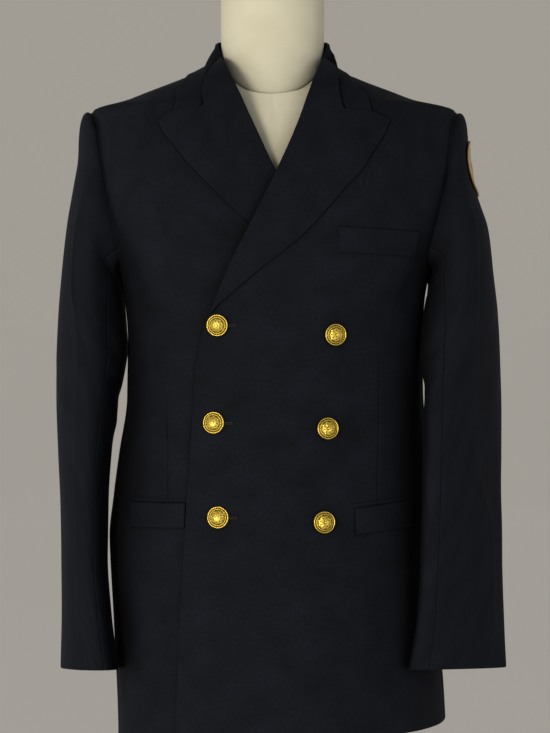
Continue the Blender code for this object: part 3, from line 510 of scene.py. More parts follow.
def paintedHollowShade(tree, colour, reach, power):
    # Painted shade: colour darkened in hollows in place of the shadow that falls there, colour * (open share
    # of the sky within this reach) ^ power.
    sky = addNode(tree, "ShaderNodeAmbientOcclusion", {"Distance": reach * mm}, samples=4)
    return scaled(tree, colour, combine(tree, "POWER", (sky, "AO"), power))


# hollowReach and hollowPower: reach in millimetres and strength of the painted shade in the wool's hollows.
wool = {"dark": "#0d0f14", "light": "#171b25", "sheenTint": "#8f9cc0", "sheen": 0.03, "roughness": 0.82,
        "twillPeriod": 1.5, "twillDepth": 0.10, "napSize": 3.2, "napDepth": 0.16,
        "hollowReach": 55, "hollowPower": 1.8}


def woolMaterial():
    # Navy wool barathea, fulled and pressed: nearly black, matt, with a faint sheen of raised fibre where
    # the light grazes it. The real twill line is about 0.6 mm; it is drawn at 1.5 mm so that it shows.
    made, tree, shader, place = startMaterial("navy_wool_barathea", "ShaderNodeUVMap", "UV",
                                              uv_map="cloth")
    turned = addNode(tree, "ShaderNodeMapping", {"Vector": place, "Rotation": (0, 0, math.radians(45))})
    twill = bands(tree, (turned, "Vector"), "X", wool["twillPeriod"], 0.6, 1.0)
    nap = noise(tree, place, 1 / (wool["napSize"] * mm), 5.0, 0.62)
    mixed = combine(tree, "MULTIPLY", nap, noise(tree, place, 26.0, 3.0))
    colour = ramp(tree, mixed, ((0.12, wool["dark"]), (0.48, wool["light"])))
    # Painted shade: the colour is darkened in the hollows between layers and parts, where shadow falls.
    setInputs(tree, shader, {
        "Base Color": paintedHollowShade(tree, colour, wool["hollowReach"], wool["hollowPower"]),
        "Normal": bump(tree, nap, wool["napDepth"], 0.8, bump(tree, twill, wool["twillDepth"], 0.4)),
        "Roughness": wool["roughness"], "Specular IOR Level": 0.10, "Sheen Weight": wool["sheen"],
        "Sheen Roughness": 0.38, "Sheen Tint": linear(wool["sheenTint"])})
    return made


gilt = {"colour": "#f0d462", "patina": "#6a5418", "roughness": 0.36}


def giltMaterial():
    # Die-struck brass with bright gilding: warm yellow metal, with dull brown left in its recesses.
    made, tree, shader, place = startMaterial("gilt_struck_brass")
    depth = (addNode(tree, "ShaderNodeAttribute", {}, attribute_name="shade"), "Fac")
    setInputs(tree, shader, {
        "Base Color": ramp(tree, depth, ((0.18, gilt["patina"]), (0.62, gilt["colour"]))),
        "Normal": bump(tree, noise(tree, place, 900.0, 3.0), 0.25, 0.3),
        "Roughness": between(tree, depth, 0.55, gilt["roughness"]), "Metallic": 1.0})
    return made


# hollowReach and hollowPower: reach in millimetres and strength of the painted shade in the form's hollows.
formCloth = {"light": "#dfdbc4", "dark": "#d3ceb5", "threadPeriod": 1.1, "hollowReach": 38,
             "hollowPower": 0.9}


def formMaterial():
    # Plain-woven cotton jersey drawn over a papier-mache form: matt cream, with a slight mottle.
    made, tree, shader, place = startMaterial("cream_cotton_cover")
    weave = combine(tree, "ADD", *(bands(tree, place, way, formCloth["threadPeriod"], 0.4) for way in "ZX"))
    colour = ramp(tree, noise(tree, place, 22.0, 5.0), ((0.3, formCloth["dark"]), (0.7, formCloth["light"])))
    # Painted shade: the cream is darkened in the form's hollows, where shadow falls.
    setInputs(tree, shader, {
        "Base Color": paintedHollowShade(tree, colour, formCloth["hollowReach"], formCloth["hollowPower"]),
        "Normal": bump(tree, weave, 0.12, 0.4), "Roughness": 0.88, "Sheen Weight": 0.1})
    return made


def steelMaterial():
    # Mild steel with black stoving enamel: satin, with a slight orange-peel.
    made, tree, shader, place = startMaterial("black_stoved_steel")
    peel = noise(tree, place, 260.0, 2.0)
    setInputs(tree, shader, {"Base Color": ramp(tree, peel, ((0, "#141414"), (1, "#1d1d1e"))),
                             "Normal": bump(tree, peel, 0.06, 0.5), "Roughness": 0.42})
    return made


def threadMaterial():
    # Black polyester twist of the buttonholes: a little glossier than the wool.
    made, tree, shader, place = startMaterial("black_buttonhole_twist")
    strands = noise(tree, place, 1400.0, 2.0)
    setInputs(tree, shader, {"Base Color": ramp(tree, strands, ((0, "#07080a"), (1, "#12141a"))),
                             "Roughness": 0.7})
    return made


embroideryStops = ((0.12, "#10141f"), (0.3, "#54330f"), (0.6, "#d2a651"), (0.95, "#f0d795"))


def embroideryMaterial():
    # Rayon embroidery on navy twill: satin-stitched amber thread, 0.4 mm thick, drawn at 0.8 mm to show.
    # The stops are the ground, the thread in shade, the thread and its lit side.
    made, tree, shader, place = startMaterial("rayon_embroidery")
    depth = (addNode(tree, "ShaderNodeAttribute", {}, attribute_name="shade"), "Fac")
    threads = bands(tree, place, "DIAGONAL", 0.8, 1.2)
    setInputs(tree, shader, {
        "Base Color": scaled(tree, ramp(tree, depth, embroideryStops), between(tree, threads, 0.72, 1.0)),
        "Normal": bump(tree, threads, 0.4, 0.4), "Roughness": 0.5, "Sheen Weight": 0.2})
    return made


def paperMaterial():
    # Matt pale grey studio paper with a very slight mottle, lit evenly from behind.
    made, tree, shader, place = startMaterial("pale_studio_paper")
    cloud = noise(tree, place, 1.2, 3.0)
    setInputs(tree, shader, {"Base Color": ramp(tree, cloud, ((0, "#66635d"), (1, "#6d6a64"))),
                             "Roughness": 0.95, "Emission Color": linear("#94908a"),
                             "Emission Strength": 1.0})
    return made


clothWool = woolMaterial()
threadSilk = threadMaterial()
embroidery = embroideryMaterial()
giltBrass = giltMaterial()
creamCotton = formMaterial()
stovedSteel = steelMaterial()
print("materials made")


# Body panels

seams = {"side": 78, "back": 117, "middleGap": 0.15, "gap": 0.12, "underarmShare": 0.66}
armholeFront = [  # height and angle, from the front side seam up to the shoulder tip
    (701, 78), (708, 72), (730, 67), (760, 66), (800, 67.5), (835, 68.5), (860, 72), (873, 79), (880, 90)]
armholeBack = [
    (711, 117), (735, 116), (760, 115), (800, 112), (835, 110), (860, 107), (873, 101), (880, 90)]
armholeUnder = [(701, 78), (695, 90), (699, 104), (711, 117)]
# By side: front edges and roll lines, as height and distance from the middle to the piece's own side.
frontEdge = {
    1: [(200, -107), (309, -103), (391, -98), (448, -94.5), (484, -92.5), (548, -88.5), (580, -87),
        (612, -82.5), (634, -76.5)],
    -1: [(200, -96), (309, -93), (391, -90), (473, -86), (558, -78), (640, -69)]}
rollLine = {
    1: [(652, -67), (696, -48), (745, -24), (803, 4.5), (842, 21.5), (886, 37.5), (916, 47.5), (933, 53)],
    -1: [(652, -66), (700, -48), (745, -27), (803, 0.8), (837, 17), (877, 35.4), (915, 52), (933, 58)]}
lapRows = np.array([  # how far the right front lies inside the left one, by height
    (190, 2.6), (600, 2.6), (680, 8.6), (800, 8.6), (860, 3.6), (960, 3.0)], float)
lap = {"start": 85, "end": 8}
panelStep = 4.0
dart = {"depth": 0.85, "reach": 0.85, "rim": (0.5, 1.0, 1.7, 3.0), "at": 0.65}
dartLine = {  # by side: height and distance to the piece's own side
    1: [(447, 110), (520, 111.5), (612, 113)], -1: [(448, 116.5), (505, 117), (560, 120)]}


def rightLap(angle, height):
    # The right front sinks below the left one before it passes beneath its edge.
    across = rawPoint(angle, height)[..., 0]
    edge = tableValue(np.array(frontEdge[1] + rollLine[1], float), 1, height)
    share = smooth((across - edge + lap["start"]) / (lap["start"] - lap["end"]))
    return np.where(np.cos(np.radians(angle)) > 0, -tableValue(lapRows, 1, height) * share, 0)


def onBody(side, angle, height):
    # The body's outward normals there, and the surface that this side's front lies on.
    normal, surface = bodyNormal(angle, height), rawPoint(angle, height)
    return normal, surface + normal * rightLap(angle, height)[..., None] if side < 0 else surface


def sideBorder(armhole, side):
    # Up a side seam to the underarm, then up the armhole to the shoulder tip.
    foot, angle = armhole[0]
    seam = line((side * angle, hem[side]), (side * angle, foot))
    return joined(seam, angleCurve(armhole, side), seams["underarmShare"])


def shoulderBorder(neckAngle, corner, side, flip):
    # From the neck seam's end round to the neck point, then down the shoulder to its tip.
    neck = line((side * neckAngle, neckSeam), (side * 90, neckSeam))
    whole = joined(neck, line((side * 90, neckSeam), (side * 90, shoulderTip)), corner)
    return (lambda share: whole(1 - np.asarray(share, float))) if flip else whole


def backMiddle(side):
    def at(share):
        height = hem[1] + np.asarray(share, float) * (neckSeam - hem[1])
        return np.stack([side * (180 - angleAt(height, seams["middleGap"])), height], axis=-1)
    return at


def panelSteps(length, knots=(), lastInset=None):
    return steps(length, panelStep, seams["gap"] / length, knots, lastInset=lastInset)


def addPanel(name, side, grid, edges, groove=0.0):
    # The body's surface at the grid's angles and heights, with its creases and turned-in edges.
    normal, surface = onBody(side, grid[..., 0], grid[..., 1])
    relief = bodyRelief(surface)
    drop = np.minimum(edgeDrop(surface, edges) + groove, deepest)
    outer = surface + normal * (relief - drop)[..., None]
    addShell(name, outer, surface + normal * (relief - wall)[..., None])


def addFront(name, side):
    # A column is drawn along the dart: s' = s + (dart(z) - s0) * hat(s), with the hat 1 near s0.
    left = frontCurve(frontEdge[side] + rollLine[side], side)
    right = sideBorder(armholeFront, side)
    bottom = line(left(0.0), right(0.0))
    top = shoulderBorder(abs(left(1.0)[0]), 2 / 12, side, False)
    width, length, dartPlace = 260, 750, dart["at"]
    rim = np.array(dart["rim"]) / width
    near = np.concatenate([dartPlace - rim[::-1], [dartPlace], dartPlace + rim])
    s, t = np.meshgrid(panelSteps(width, tuple(near) + (2 / 12,)),
                       panelSteps(length, (seams["underarmShare"],)))
    trial = np.linspace(0, 1, 160)
    trialGrid = coons(bottom, top, left, right, *np.meshgrid(trial, t[:, 0]))
    across = side * rawPoint(trialGrid[..., 0], trialGrid[..., 1])[..., 0]
    rows = np.array(dartLine[side], float)
    wanted = np.interp(trialGrid[:, 103, 1], rows[:, 0], rows[:, 1])
    front = np.cos(np.radians(trialGrid[..., 0])) > 0
    place = np.array([np.interp(w, a[f], trial[f]) for w, a, f in zip(wanted, across, front)])
    hat = 1 - smooth((np.abs(s - dartPlace) - 0.03) / 0.30)
    grid = coons(bottom, top, left, right, s + (place[:, None] - dartPlace) * hat, t)
    height = grid[..., 1]
    distance = (s - dartPlace) * width
    ends = smooth((height - rows[0, 0] + 4) / 8) * (1 - smooth((height - rows[-1, 0] + 25) / 30))
    groove = dart["depth"] * np.exp(-(distance / dart["reach"]) ** 2) * ends
    addPanel(name, side, grid, ("fold", "seam", "fold", "seam"), groove)


def addSide(name, side):
    left = line((side * seams["side"], hem[side]), (side * seams["side"], armholeFront[0][0]))
    right = line((side * seams["back"], hem[side]), (side * seams["back"], armholeBack[0][0]))
    s, t = np.meshgrid(panelSteps(110), panelSteps(500))
    grid = coons(line(left(0.0), right(0.0)), angleCurve(armholeUnder, side), left, right, s, t)
    addPanel(name, side, grid, ("seam", "seam", "fold", "seam"))


def addBack(name, side):
    left, right = sideBorder(armholeBack, side), backMiddle(side)
    top = shoulderBorder(side * right(1.0)[0], 4 / 10, side, True)
    s, t = np.meshgrid(panelSteps(220, (6 / 10,), 0.0), panelSteps(750, (seams["underarmShare"],)))
    addPanel(name, side, coons(line(left(0.0), right(0.0)), top, left, right, s, t),
             ("seam", "seam", "fold", "seam"))


words = {"left": 1, "right": -1}
for word, side in words.items():
    addFront("front_" + word, side)
    addSide("side_" + word, side)
    addBack("back_" + word, side)
print("body panels made")


# Lapels

lapel = {"lift": 2.9, "rollRise": 2.4, "riseShare": 0.06, "climb": (850, 910), "standOff": 2.4,
         "rollClear": 0.7, "rightFoot": 768, "edgeSettle": 0.55, "settleReach": 9.0, "step": 3.0,
         "belly": 0.5}
# By side, as height and distance: the lapel's edge, the gorge, and the collar leaf's foot and edge.
lapelEdge = {
    1: [(660, -60), (692, -22), (728, 23), (743, 39), (762, 56), (782, 73), (804, 93), (827, 107),
        (841, 116), (861, 125)],
    -1: [(736, 13), (745, 25), (760, 42), (778, 61), (795, 78), (815, 96), (835, 111), (846, 120),
         (858, 126)]}
gorge = {1: [(933, 53), (918, 66), (890, 69), (871, 74)], -1: [(933, 58), (909, 73), (892, 78), (874, 77)]}
leafFoot = {1: [(871, 74), (869, 104)], -1: [(874, 77), (870, 109)]}
leafEdge = {1: [(869, 104), (886, 100), (895, 95), (905, 88), (914, 81)],
            -1: [(870, 109), (885, 104), (896, 98), (906, 92), (916, 85)]}


def gorgeLine(side, toLeafTip=False):
    # From the roll line down the gorge to the notch, and on under the collar's leaf to the peak,
    # or only to the leaf's tip. The notch is half way.
    foot, peak = leafFoot[side], lapelEdge[side][-1]
    topEdge = flatCurve(foot + [peak])
    leaf, rest = math.dist(foot[0], foot[1]), math.dist(foot[1], peak)
    part = leaf / (leaf + rest) if toLeafTip else 1
    return joined(flatCurve(gorge[side]), lambda at: topEdge(at * part), 0.5)


def addLapel(name, side):
    # On the front's own points: lift + rise * (1 - s)^2 towards the roll, with a half-ellipse round it.
    roll = rollLine[side]
    if side < 0:
        foot = (lapel["rightFoot"], np.interp(lapel["rightFoot"], *zip(*roll)))
        roll = [foot] + [row for row in roll if row[0] > foot[0]]
    left, right = flatCurve(roll), flatCurve(lapelEdge[side])
    s, t = np.meshgrid(steps(90, lapel["step"], 0.002, knots=(0.5,)),
                       steps(290, lapel["step"], 0.002))
    flat = coons(line(left(0.0), right(0.0)), gorgeLine(side), left, right, s, t)
    height = flat[..., 1]
    angle = angleAt(height, side * flat[..., 0])
    normal, surface = onBody(side, angle, height)
    width = np.linalg.norm(surface[:, -1] - surface[:, 0], axis=1)[:, None]
    rise = np.minimum(lapel["rollRise"], lapel["riseShare"] * width)
    climb = smooth((height - lapel["climb"][0]) / (lapel["climb"][1] - lapel["climb"][0]))
    _, toEdge, _, toTop = borderDistances(surface)
    settle = lapel["edgeSettle"] * (1 - climb) * np.exp(-(np.minimum(toEdge, toTop)
                                                          / lapel["settleReach"]) ** 2)
    belly = lapel["belly"] * np.sin(np.pi * s) * np.minimum(width / 60, 1)
    relief = bodyRelief(surface)
    lift = lapel["lift"] + rise * (1 - s) ** 2 + lapel["standOff"] * climb - settle + belly + relief
    drop = edgeDrop(surface, ("none", "fold", "none", "fold"))
    outer = surface + normal * (lift - drop)[..., None]
    inner = surface + normal * (lift - wall)[..., None]
    away = unit(rawPoint(angle[:, 0], height[:, 0]) - rawPoint(angle[:, 2], height[:, 2]))[:, None]
    up, start = normal[:, :1], surface[:, :1]
    turn = np.radians(np.linspace(-80, 78, 11))[None, :, None]
    top = lift[:, :1, None]
    clear = 0.9 + climb[:, :1, None] * lapel["rollClear"]
    middle, half = (top - wall) / 2, (top + wall) / 2
    turned = start + away * (clear + 1.9 * np.cos(turn)) + up * (middle + half * np.sin(turn))
    within = start + away * (clear + 0.5 * np.cos(turn)) + up * (middle + (half - 1.3) * np.sin(turn))
    addShell(name, np.concatenate([turned, outer], axis=1), np.concatenate([within, inner], axis=1))


for word, side in words.items():
    addLapel("lapel_" + word, side)
print("lapels made")


# Collar

collarFold = [(938.5, 64.5), (948, 73), (959, 90), (964, 112), (967, 145), (968, 180)]  # height and angle
collarEdge = [(928, 88), (921, 115), (914, 148), (913, 180)]
collar = {"bulge": 0.8, "footInside": 0.4, "foot": neckSeam + 1, "foldOut": 1.3, "foldDrop": 1.6,
          "ownShare": 0.25, "bulgeShare": 0.33, "sink": 5.0, "sinkAt": 0.34, "sinkReach": 0.18,
          "leafLift": layer + 0.5, "edgeLift": layer + 0.6,
          "endGap": 0.003, "gorgeGap": 0.2, "gorgeReach": 4, "clear": 0.7, "rows": 62, "columns": 18}
standOuter = [  # from the stand's foot over the fold: how far out, and how far below the fold
    (-1.9, 8.0), (-1.9, 3.4), (-1.75, 1.6), (-1.25, 0.6), (-0.4, 0.1), (0.2, 0.05), (0.7, 0.4), (1.1, 0.9)]
standInner = [
    (-0.4, 8.0), (-0.4, 3.9), (-0.35, 2.9), (-0.2, 2.3), (-0.05, 2.0), (0.15, 1.95), (0.25, 2.05),
    (0.35, 2.25)]


def collarHalf(side, t):
    # Rows from the gorge to the middle of the back; columns from the stand's foot over the fold to the
    # fall's edge. The fall is ruled from the fold to its own edge and takes up the gorge's line in front:
    # the line's distance from its own chord * (1 - t) ^ gorgeReach.
    fold = angleCurve(collarFold, side)(t)
    angle, height = fold[:, 0], fold[:, 1]

    def stand(rows):
        foot = [(rows[0][0], height - collar["foot"])]
        drops = [(out, np.minimum(drop, height - collar["foot"])) for out, drop in rows[1:]]
        return [bodyPoint(angle, height - drop, np.full(len(t), out))[:, None]
                for out, drop in foot + drops]

    s = np.concatenate([np.linspace(0, 0.9, collar["columns"] - 5), [0.93, 0.96, 0.98, 0.99, 1.0]])
    foldEdge = bodyPoint(angle, height - collar["foldDrop"], np.full(len(t), collar["foldOut"]))
    end = gorgeLine(side, toLeafTip=True)(s)
    end = bodyPoint(angleAt(end[:, 1], side * (end[:, 0] + collar["gorgeGap"])), end[:, 1],
                    np.full(len(s), collar["leafLift"]))
    end[0] = foldEdge[0]
    leafRows = [(h, angleAt(h, across))
                for across, h in flatCurve(leafEdge[side])(np.linspace(0, 1, 9))]
    edge = angleCurve(leafRows + collarEdge, side)(t)
    edge = bodyPoint(edge[:, 0], edge[:, 1], np.full(len(t), collar["edgeLift"]))
    edge[0] = end[-1]
    s3, t3 = s[None, :, None], t[:, None, None]
    chord = foldEdge[0] + (edge[0] - foldEdge[0]) * s[:, None]
    fall = ((1 - s3) * foldEdge[:, None] + s3 * edge[:, None]
            + (1 - t3) ** collar["gorgeReach"] * (end - chord)[None])
    normal = unit(np.cross(np.gradient(fall, axis=0), np.gradient(fall, axis=1)))
    _, outward = bodyDistance(fall)
    normal = normal * np.sign(np.sum(normal * outward, axis=-1, keepdims=True))
    own = np.minimum(1, t3 / collar["ownShare"])
    normal = unit(normal * own + outward * (1 - own))
    # Between its borders the fall stands out a little, and sinks in over the shoulder seam.
    sink = collar["sink"] * np.exp(-((t3 - collar["sinkAt"]) / collar["sinkReach"]) ** 2)
    swell = collar["bulge"] * np.minimum(1, t3 / collar["bulgeShare"]) - sink
    fall = fall + normal * swell * np.sin(np.pi * s3)
    fall = liftedClear(fall, layer + collar["clear"])
    under = liftedClear(fall - normal * wall, 0.4 + collar["clear"])
    across, toEdge, along, _ = borderDistances(fall)
    drop = 0.6 * np.exp(-(toEdge / 0.8) ** 2) + 0.6 * np.exp(-(along / 0.8) ** 2) * smooth(s3[..., 0] * 8)
    return (np.concatenate(stand(standOuter) + [fall - normal * drop[..., None]], axis=1),
            np.concatenate(stand(standInner) + [under], axis=1))


def addCollar():
    t = steps(190, 3.2, collar["endGap"], lastInset=0.0, rim=(0.5, 1.0, 1.7))
    right, left = collarHalf(-1, t), collarHalf(1, t)
    outer = np.concatenate([right[0], left[0][-2::-1]])
    inner = np.concatenate([right[1], left[1][-2::-1]])
    addShell("collar", outer, inner)


addCollar()
print("collar made")


# Sleeves

sleeve = {-1: np.array([
    # height, inner, outer, front, back, turn, slope
    [260, 171, 239, -94, 14, 22, 0.12],
    [320, 179.5, 238.2, -92, 21, 18, 0.10],
    [387, 185, 238.6, -91, 28, 14, 0.08],
    [440, 185, 240, -89, 35, 12, 0.06],
    [500, 182, 243, -86, 43, 10, 0.04],
    [556, 175, 244.5, -83, 52, 5, 0.02],
    [600, 171, 244.6, -80, 58, 2, 0.00],
    [650, 174, 243, -78, 64, 2, 0.00],
    [700, 177, 239.5, -75, 69, 3, 0.00],
    [750, 173, 234.8, -71, 71, 5, 0.00],
    [800, 166, 226.8, -66, 69, 5, 0.00],
    [830, 162, 221.8, -63, 66, 2, 0.00],
    [860, 158, 220.8, -60, 62, 0, 0.00],
]), 1: np.array([
    [266, 143, 255.2, -112, -40, 51, 0.12],
    [320, 152, 254.4, -114, -22, 52, 0.10],
    [387, 156, 253.4, -111, -6, 51, 0.08],
    [440, 159, 253.4, -107, 5, 49, 0.06],
    [500, 161, 256.4, -99, 18, 47, 0.04],
    [556, 163, 258, -91, 33, 43, 0.02],
    [600, 166, 257, -85, 46, 35, 0.00],
    [650, 170, 254.4, -80, 58, 25, 0.00],
    [700, 174, 247.8, -75, 67, 15, 0.00],
    [750, 172, 240.4, -71, 71, 8, 0.00],
    [775, 169, 231.8, -69, 70, 6, 0.00],
    [800, 166, 223.8, -66, 69, 5, 0.00],
    [830, 162, 218.8, -63, 66, 2, 0.00],
    [860, 158, 217, -60, 62, 0, 0.00],
])}
sleeveParts = {"capEnd": (848, 735, 655, 738), "under": (128, 236), "underarm": (148, 214), "seat": 1.0,
               "out": (1.0, 0.75, 0.6), "rope": {1: 0.3, -1: 0.75}, "tipLift": 1.5, "tipReach": 55,
               "pull": 0.30, "pullLimit": 13, "armPull": 0.42, "headShare": 0.2, "gap": 0.12, "step": 3.4,
               "creaseAt": 72, "creaseRim": (0.6, 1.3, 2.4, 4.2), "creaseReach": 3.4, "clear": 0.5}
# The upper arm lies against the body: none, all, all and none of this at the four heights.
rest = {"heights": (560, 610, 690, 715), "gap": 1.8, "reach": 22}
# The pressed crease down the front of each sleeve: height and angle round the sleeve, then its height
# above the cloth.
pressed = {
    -1: np.array([(260, 82, 0.5), (420, 83, 0.9), (557, 83, 1.5), (629, 80, 1.9), (702, 80, 2.1),
                  (761, 67, 1.9), (850, 62, 0.0)], float),
    1: np.array([(266, 44, 1.2), (434, 47, 1.9), (461, 57, 1.9), (557, 80, 2.0), (677, 85, 2.2),
                 (776, 74, 1.8), (850, 66, 0.0)], float)}
sleeveCreases = {
    # start, middle and end as angle round the sleeve and height, then depth and half-width
    -1: [
        ((20, 640), (60, 618), (100, 622), -1.3, 10), ((10, 596), (50, 574), (95, 566), -1.6, 11),
        ((25, 566), (60, 548), (100, 530), 1.1, 9), ((120, 640), (150, 604), (190, 590), -1.8, 9),
        ((118, 596), (160, 570), (205, 556), -2.0, 10), ((125, 560), (165, 540), (215, 520), 1.4, 9),
        ((40, 500), (58, 430), (62, 330), 1.2, 15), ((110, 470), (104, 380), (100, 290), -1.2, 12),
        ((60, 800), (74, 775), (100, 742), -1.1, 11), ((240, 620), (290, 600), (330, 610), -1.0, 14),
        ((250, 560), (300, 548), (345, 560), 1.0, 13), ((100, 740), (126, 712), (150, 690), 1.2, 9),
        ((255, 780), (268, 748), (262, 700), -1.4, 12), ((310, 480), (318, 400), (310, 300), 1.0, 18)],
    1: [
        ((10, 660), (50, 632), (95, 628), -1.2, 11), ((20, 610), (64, 586), (112, 580), -1.7, 11),
        ((30, 572), (70, 552), (110, 545), 1.2, 9), ((120, 650), (155, 610), (195, 600), -1.8, 10),
        ((122, 600), (165, 580), (212, 566), -2.0, 10), ((40, 540), (26, 470), (20, 380), 1.3, 16),
        ((85, 460), (74, 380), (70, 290), -1.2, 12), ((55, 805), (70, 780), (98, 744), -1.0, 11),
        ((350, 560), (358, 470), (0, 330), -1.0, 16), ((240, 630), (285, 606), (330, 620), -1.1, 14),
        ((250, 570), (300, 556), (340, 566), 1.0, 13), ((102, 742), (126, 716), (150, 694), 1.2, 9),
        ((256, 782), (266, 746), (262, 702), -1.4, 12), ((15, 470), (22, 380), (24, 300), 0.9, 12)],
}


def sleeveRing(side, angle, height):
    # Turned ellipse inside its extents: x = c + h cos(a), y = c - h sin(a - turn), its plane sloped.
    inner, outer, front, back, turn, slope = (tableValue(sleeve[side], column, height)
                                              for column in range(1, 7))
    along = (front - back) / 2 * np.sin(np.radians(angle) - np.radians(turn))
    across = (inner + outer) / 2 + (outer - inner) / 2 * np.cos(np.radians(angle))
    level = height - slope * along
    return np.stack([side * across, (front + back) / 2 + along, level], axis=-1)


def armholePoint(side, angle):
    # Angle and height of the armhole seam, by an angle round it: 0 the shoulder tip, 90 the front.
    turn = np.asarray(angle, float) % 360
    first, last = sleeveParts["underarm"]
    front, under, back = (angleCurve(armholeFront[::-1], side), angleCurve(armholeUnder, side),
                          angleCurve(armholeBack, side))
    at = np.where((turn < first)[..., None], front(np.clip(turn / first, 0, 1)),
                  under(np.clip((turn - first) / (last - first), 0, 1)))
    return np.where((turn > last)[..., None], back(np.clip((turn - last) / (360 - last), 0, 1)), at)


def capEnd(angle):
    # The height where the head has run into the straight sleeve.
    heights = np.array(sleeveParts["capEnd"] + sleeveParts["capEnd"][:1], float)
    turn = np.asarray(angle, float) % 360
    i = np.minimum((turn // 90).astype(int), 3)
    ease = smooth(turn / 90 - i)
    return heights[i] * (1 - ease) + heights[i + 1] * ease


def overTip(angle):
    # exp(-(angle / reach) ^ 2): 1 at the shoulder tip, fading down both sides of the armhole.
    return np.exp(-(((angle + 180) % 360 - 180) / sleeveParts["tipReach"]) ** 2)


def sleeveSurface(side, angle, head, arm):
    # Bezier curves from the armhole seam to the straight sleeve, then the sleeve's own sections.
    # head and arm are shares down each: rows with head below 1 belong to the sleeve head.
    seam = armholePoint(side, angle)
    seat = sleeveParts["seat"] + sleeveParts["tipLift"] * overTip(angle)
    start = bodyPoint(seam[..., 0], seam[..., 1], seat)
    finish = capEnd(angle)
    stop, above = (sleeveRing(side, angle, finish + rise) for rise in (0, 2))
    reach = np.linalg.norm(stop - start, axis=-1, keepdims=True)
    out = bodyNormal(seam[..., 0], seam[..., 1]) * np.array(sleeveParts["out"])
    out[..., 2] += sleeveParts["rope"][side] * np.cos(np.radians(angle))
    first = start + out * np.minimum(sleeveParts["pull"] * reach, sleeveParts["pullLimit"])
    second = stop + unit(above - stop) * sleeveParts["armPull"] * reach
    u = head[..., None]
    top = ((1 - u) ** 3 * start + 3 * u * (1 - u) ** 2 * first + 3 * u * u * (1 - u) * second
           + u ** 3 * stop)
    level = finish + (sleeve[side][0, 0] - finish) * arm
    return rested(np.where(u < 1, top, sleeveRing(side, angle, level))), level


def rested(points):
    # Distance d from the body becomes d - (d - gap) * exp(-((d - gap) / reach) ^ 2) times the share there.
    share = np.interp(points[..., 2], rest["heights"], (0, 1, 1, 0))
    distance, outward = bodyDistance(points)
    spare = np.maximum(distance - rest["gap"], 0)
    move = share * spare * np.exp(-(spare / rest["reach"]) ** 2)
    return points - outward * np.array([1, 1, 0]) * move[..., None]


def sleeveRelief(points, side):
    paths = creasePaths(sleeveCreases[side], lambda angle, height: sleeveRing(side, angle, height), 13)
    return creaseRelief(points, paths) + 0.8 * unevenRelief(points)


# Round the armhole the sleeve turns in and runs on beneath the body's panels: millimetres from the seam
# towards the panel, out from the body's surface, and how much further out over the shoulder.
tuck = {"outer": [(3.2, -2.1, 0), (1.2, -1.6, 2.6), (-0.1, -0.6, 2.8)],
        "inner": [(3.2, -2.8, 0), (-0.6, -2.7, 0.6), (-1.6, -1.2, 0)], "middle": (190, 0, 790)}


def tuckedRows(side, angle, rows):
    seam, ahead, behind = (armholePoint(side, angle + turn) for turn in (0, 1.0, -1.0))
    start, normal = bodyPoint(seam[..., 0], seam[..., 1]), bodyNormal(seam[..., 0], seam[..., 1])
    run = bodyPoint(ahead[..., 0], ahead[..., 1]) - bodyPoint(behind[..., 0], behind[..., 1])
    away = unit(np.cross(normal, run))
    middle = np.array(tuck["middle"]) * np.array([side, 1, 1])
    away = away * np.sign(np.sum(away * (start - middle), axis=-1, keepdims=True))
    relief = bodyRelief(start)[..., None]
    over = overTip(angle)[..., None]
    return np.array([start + away * along + normal * (out + more * over + relief)
                     for along, out, more in rows])


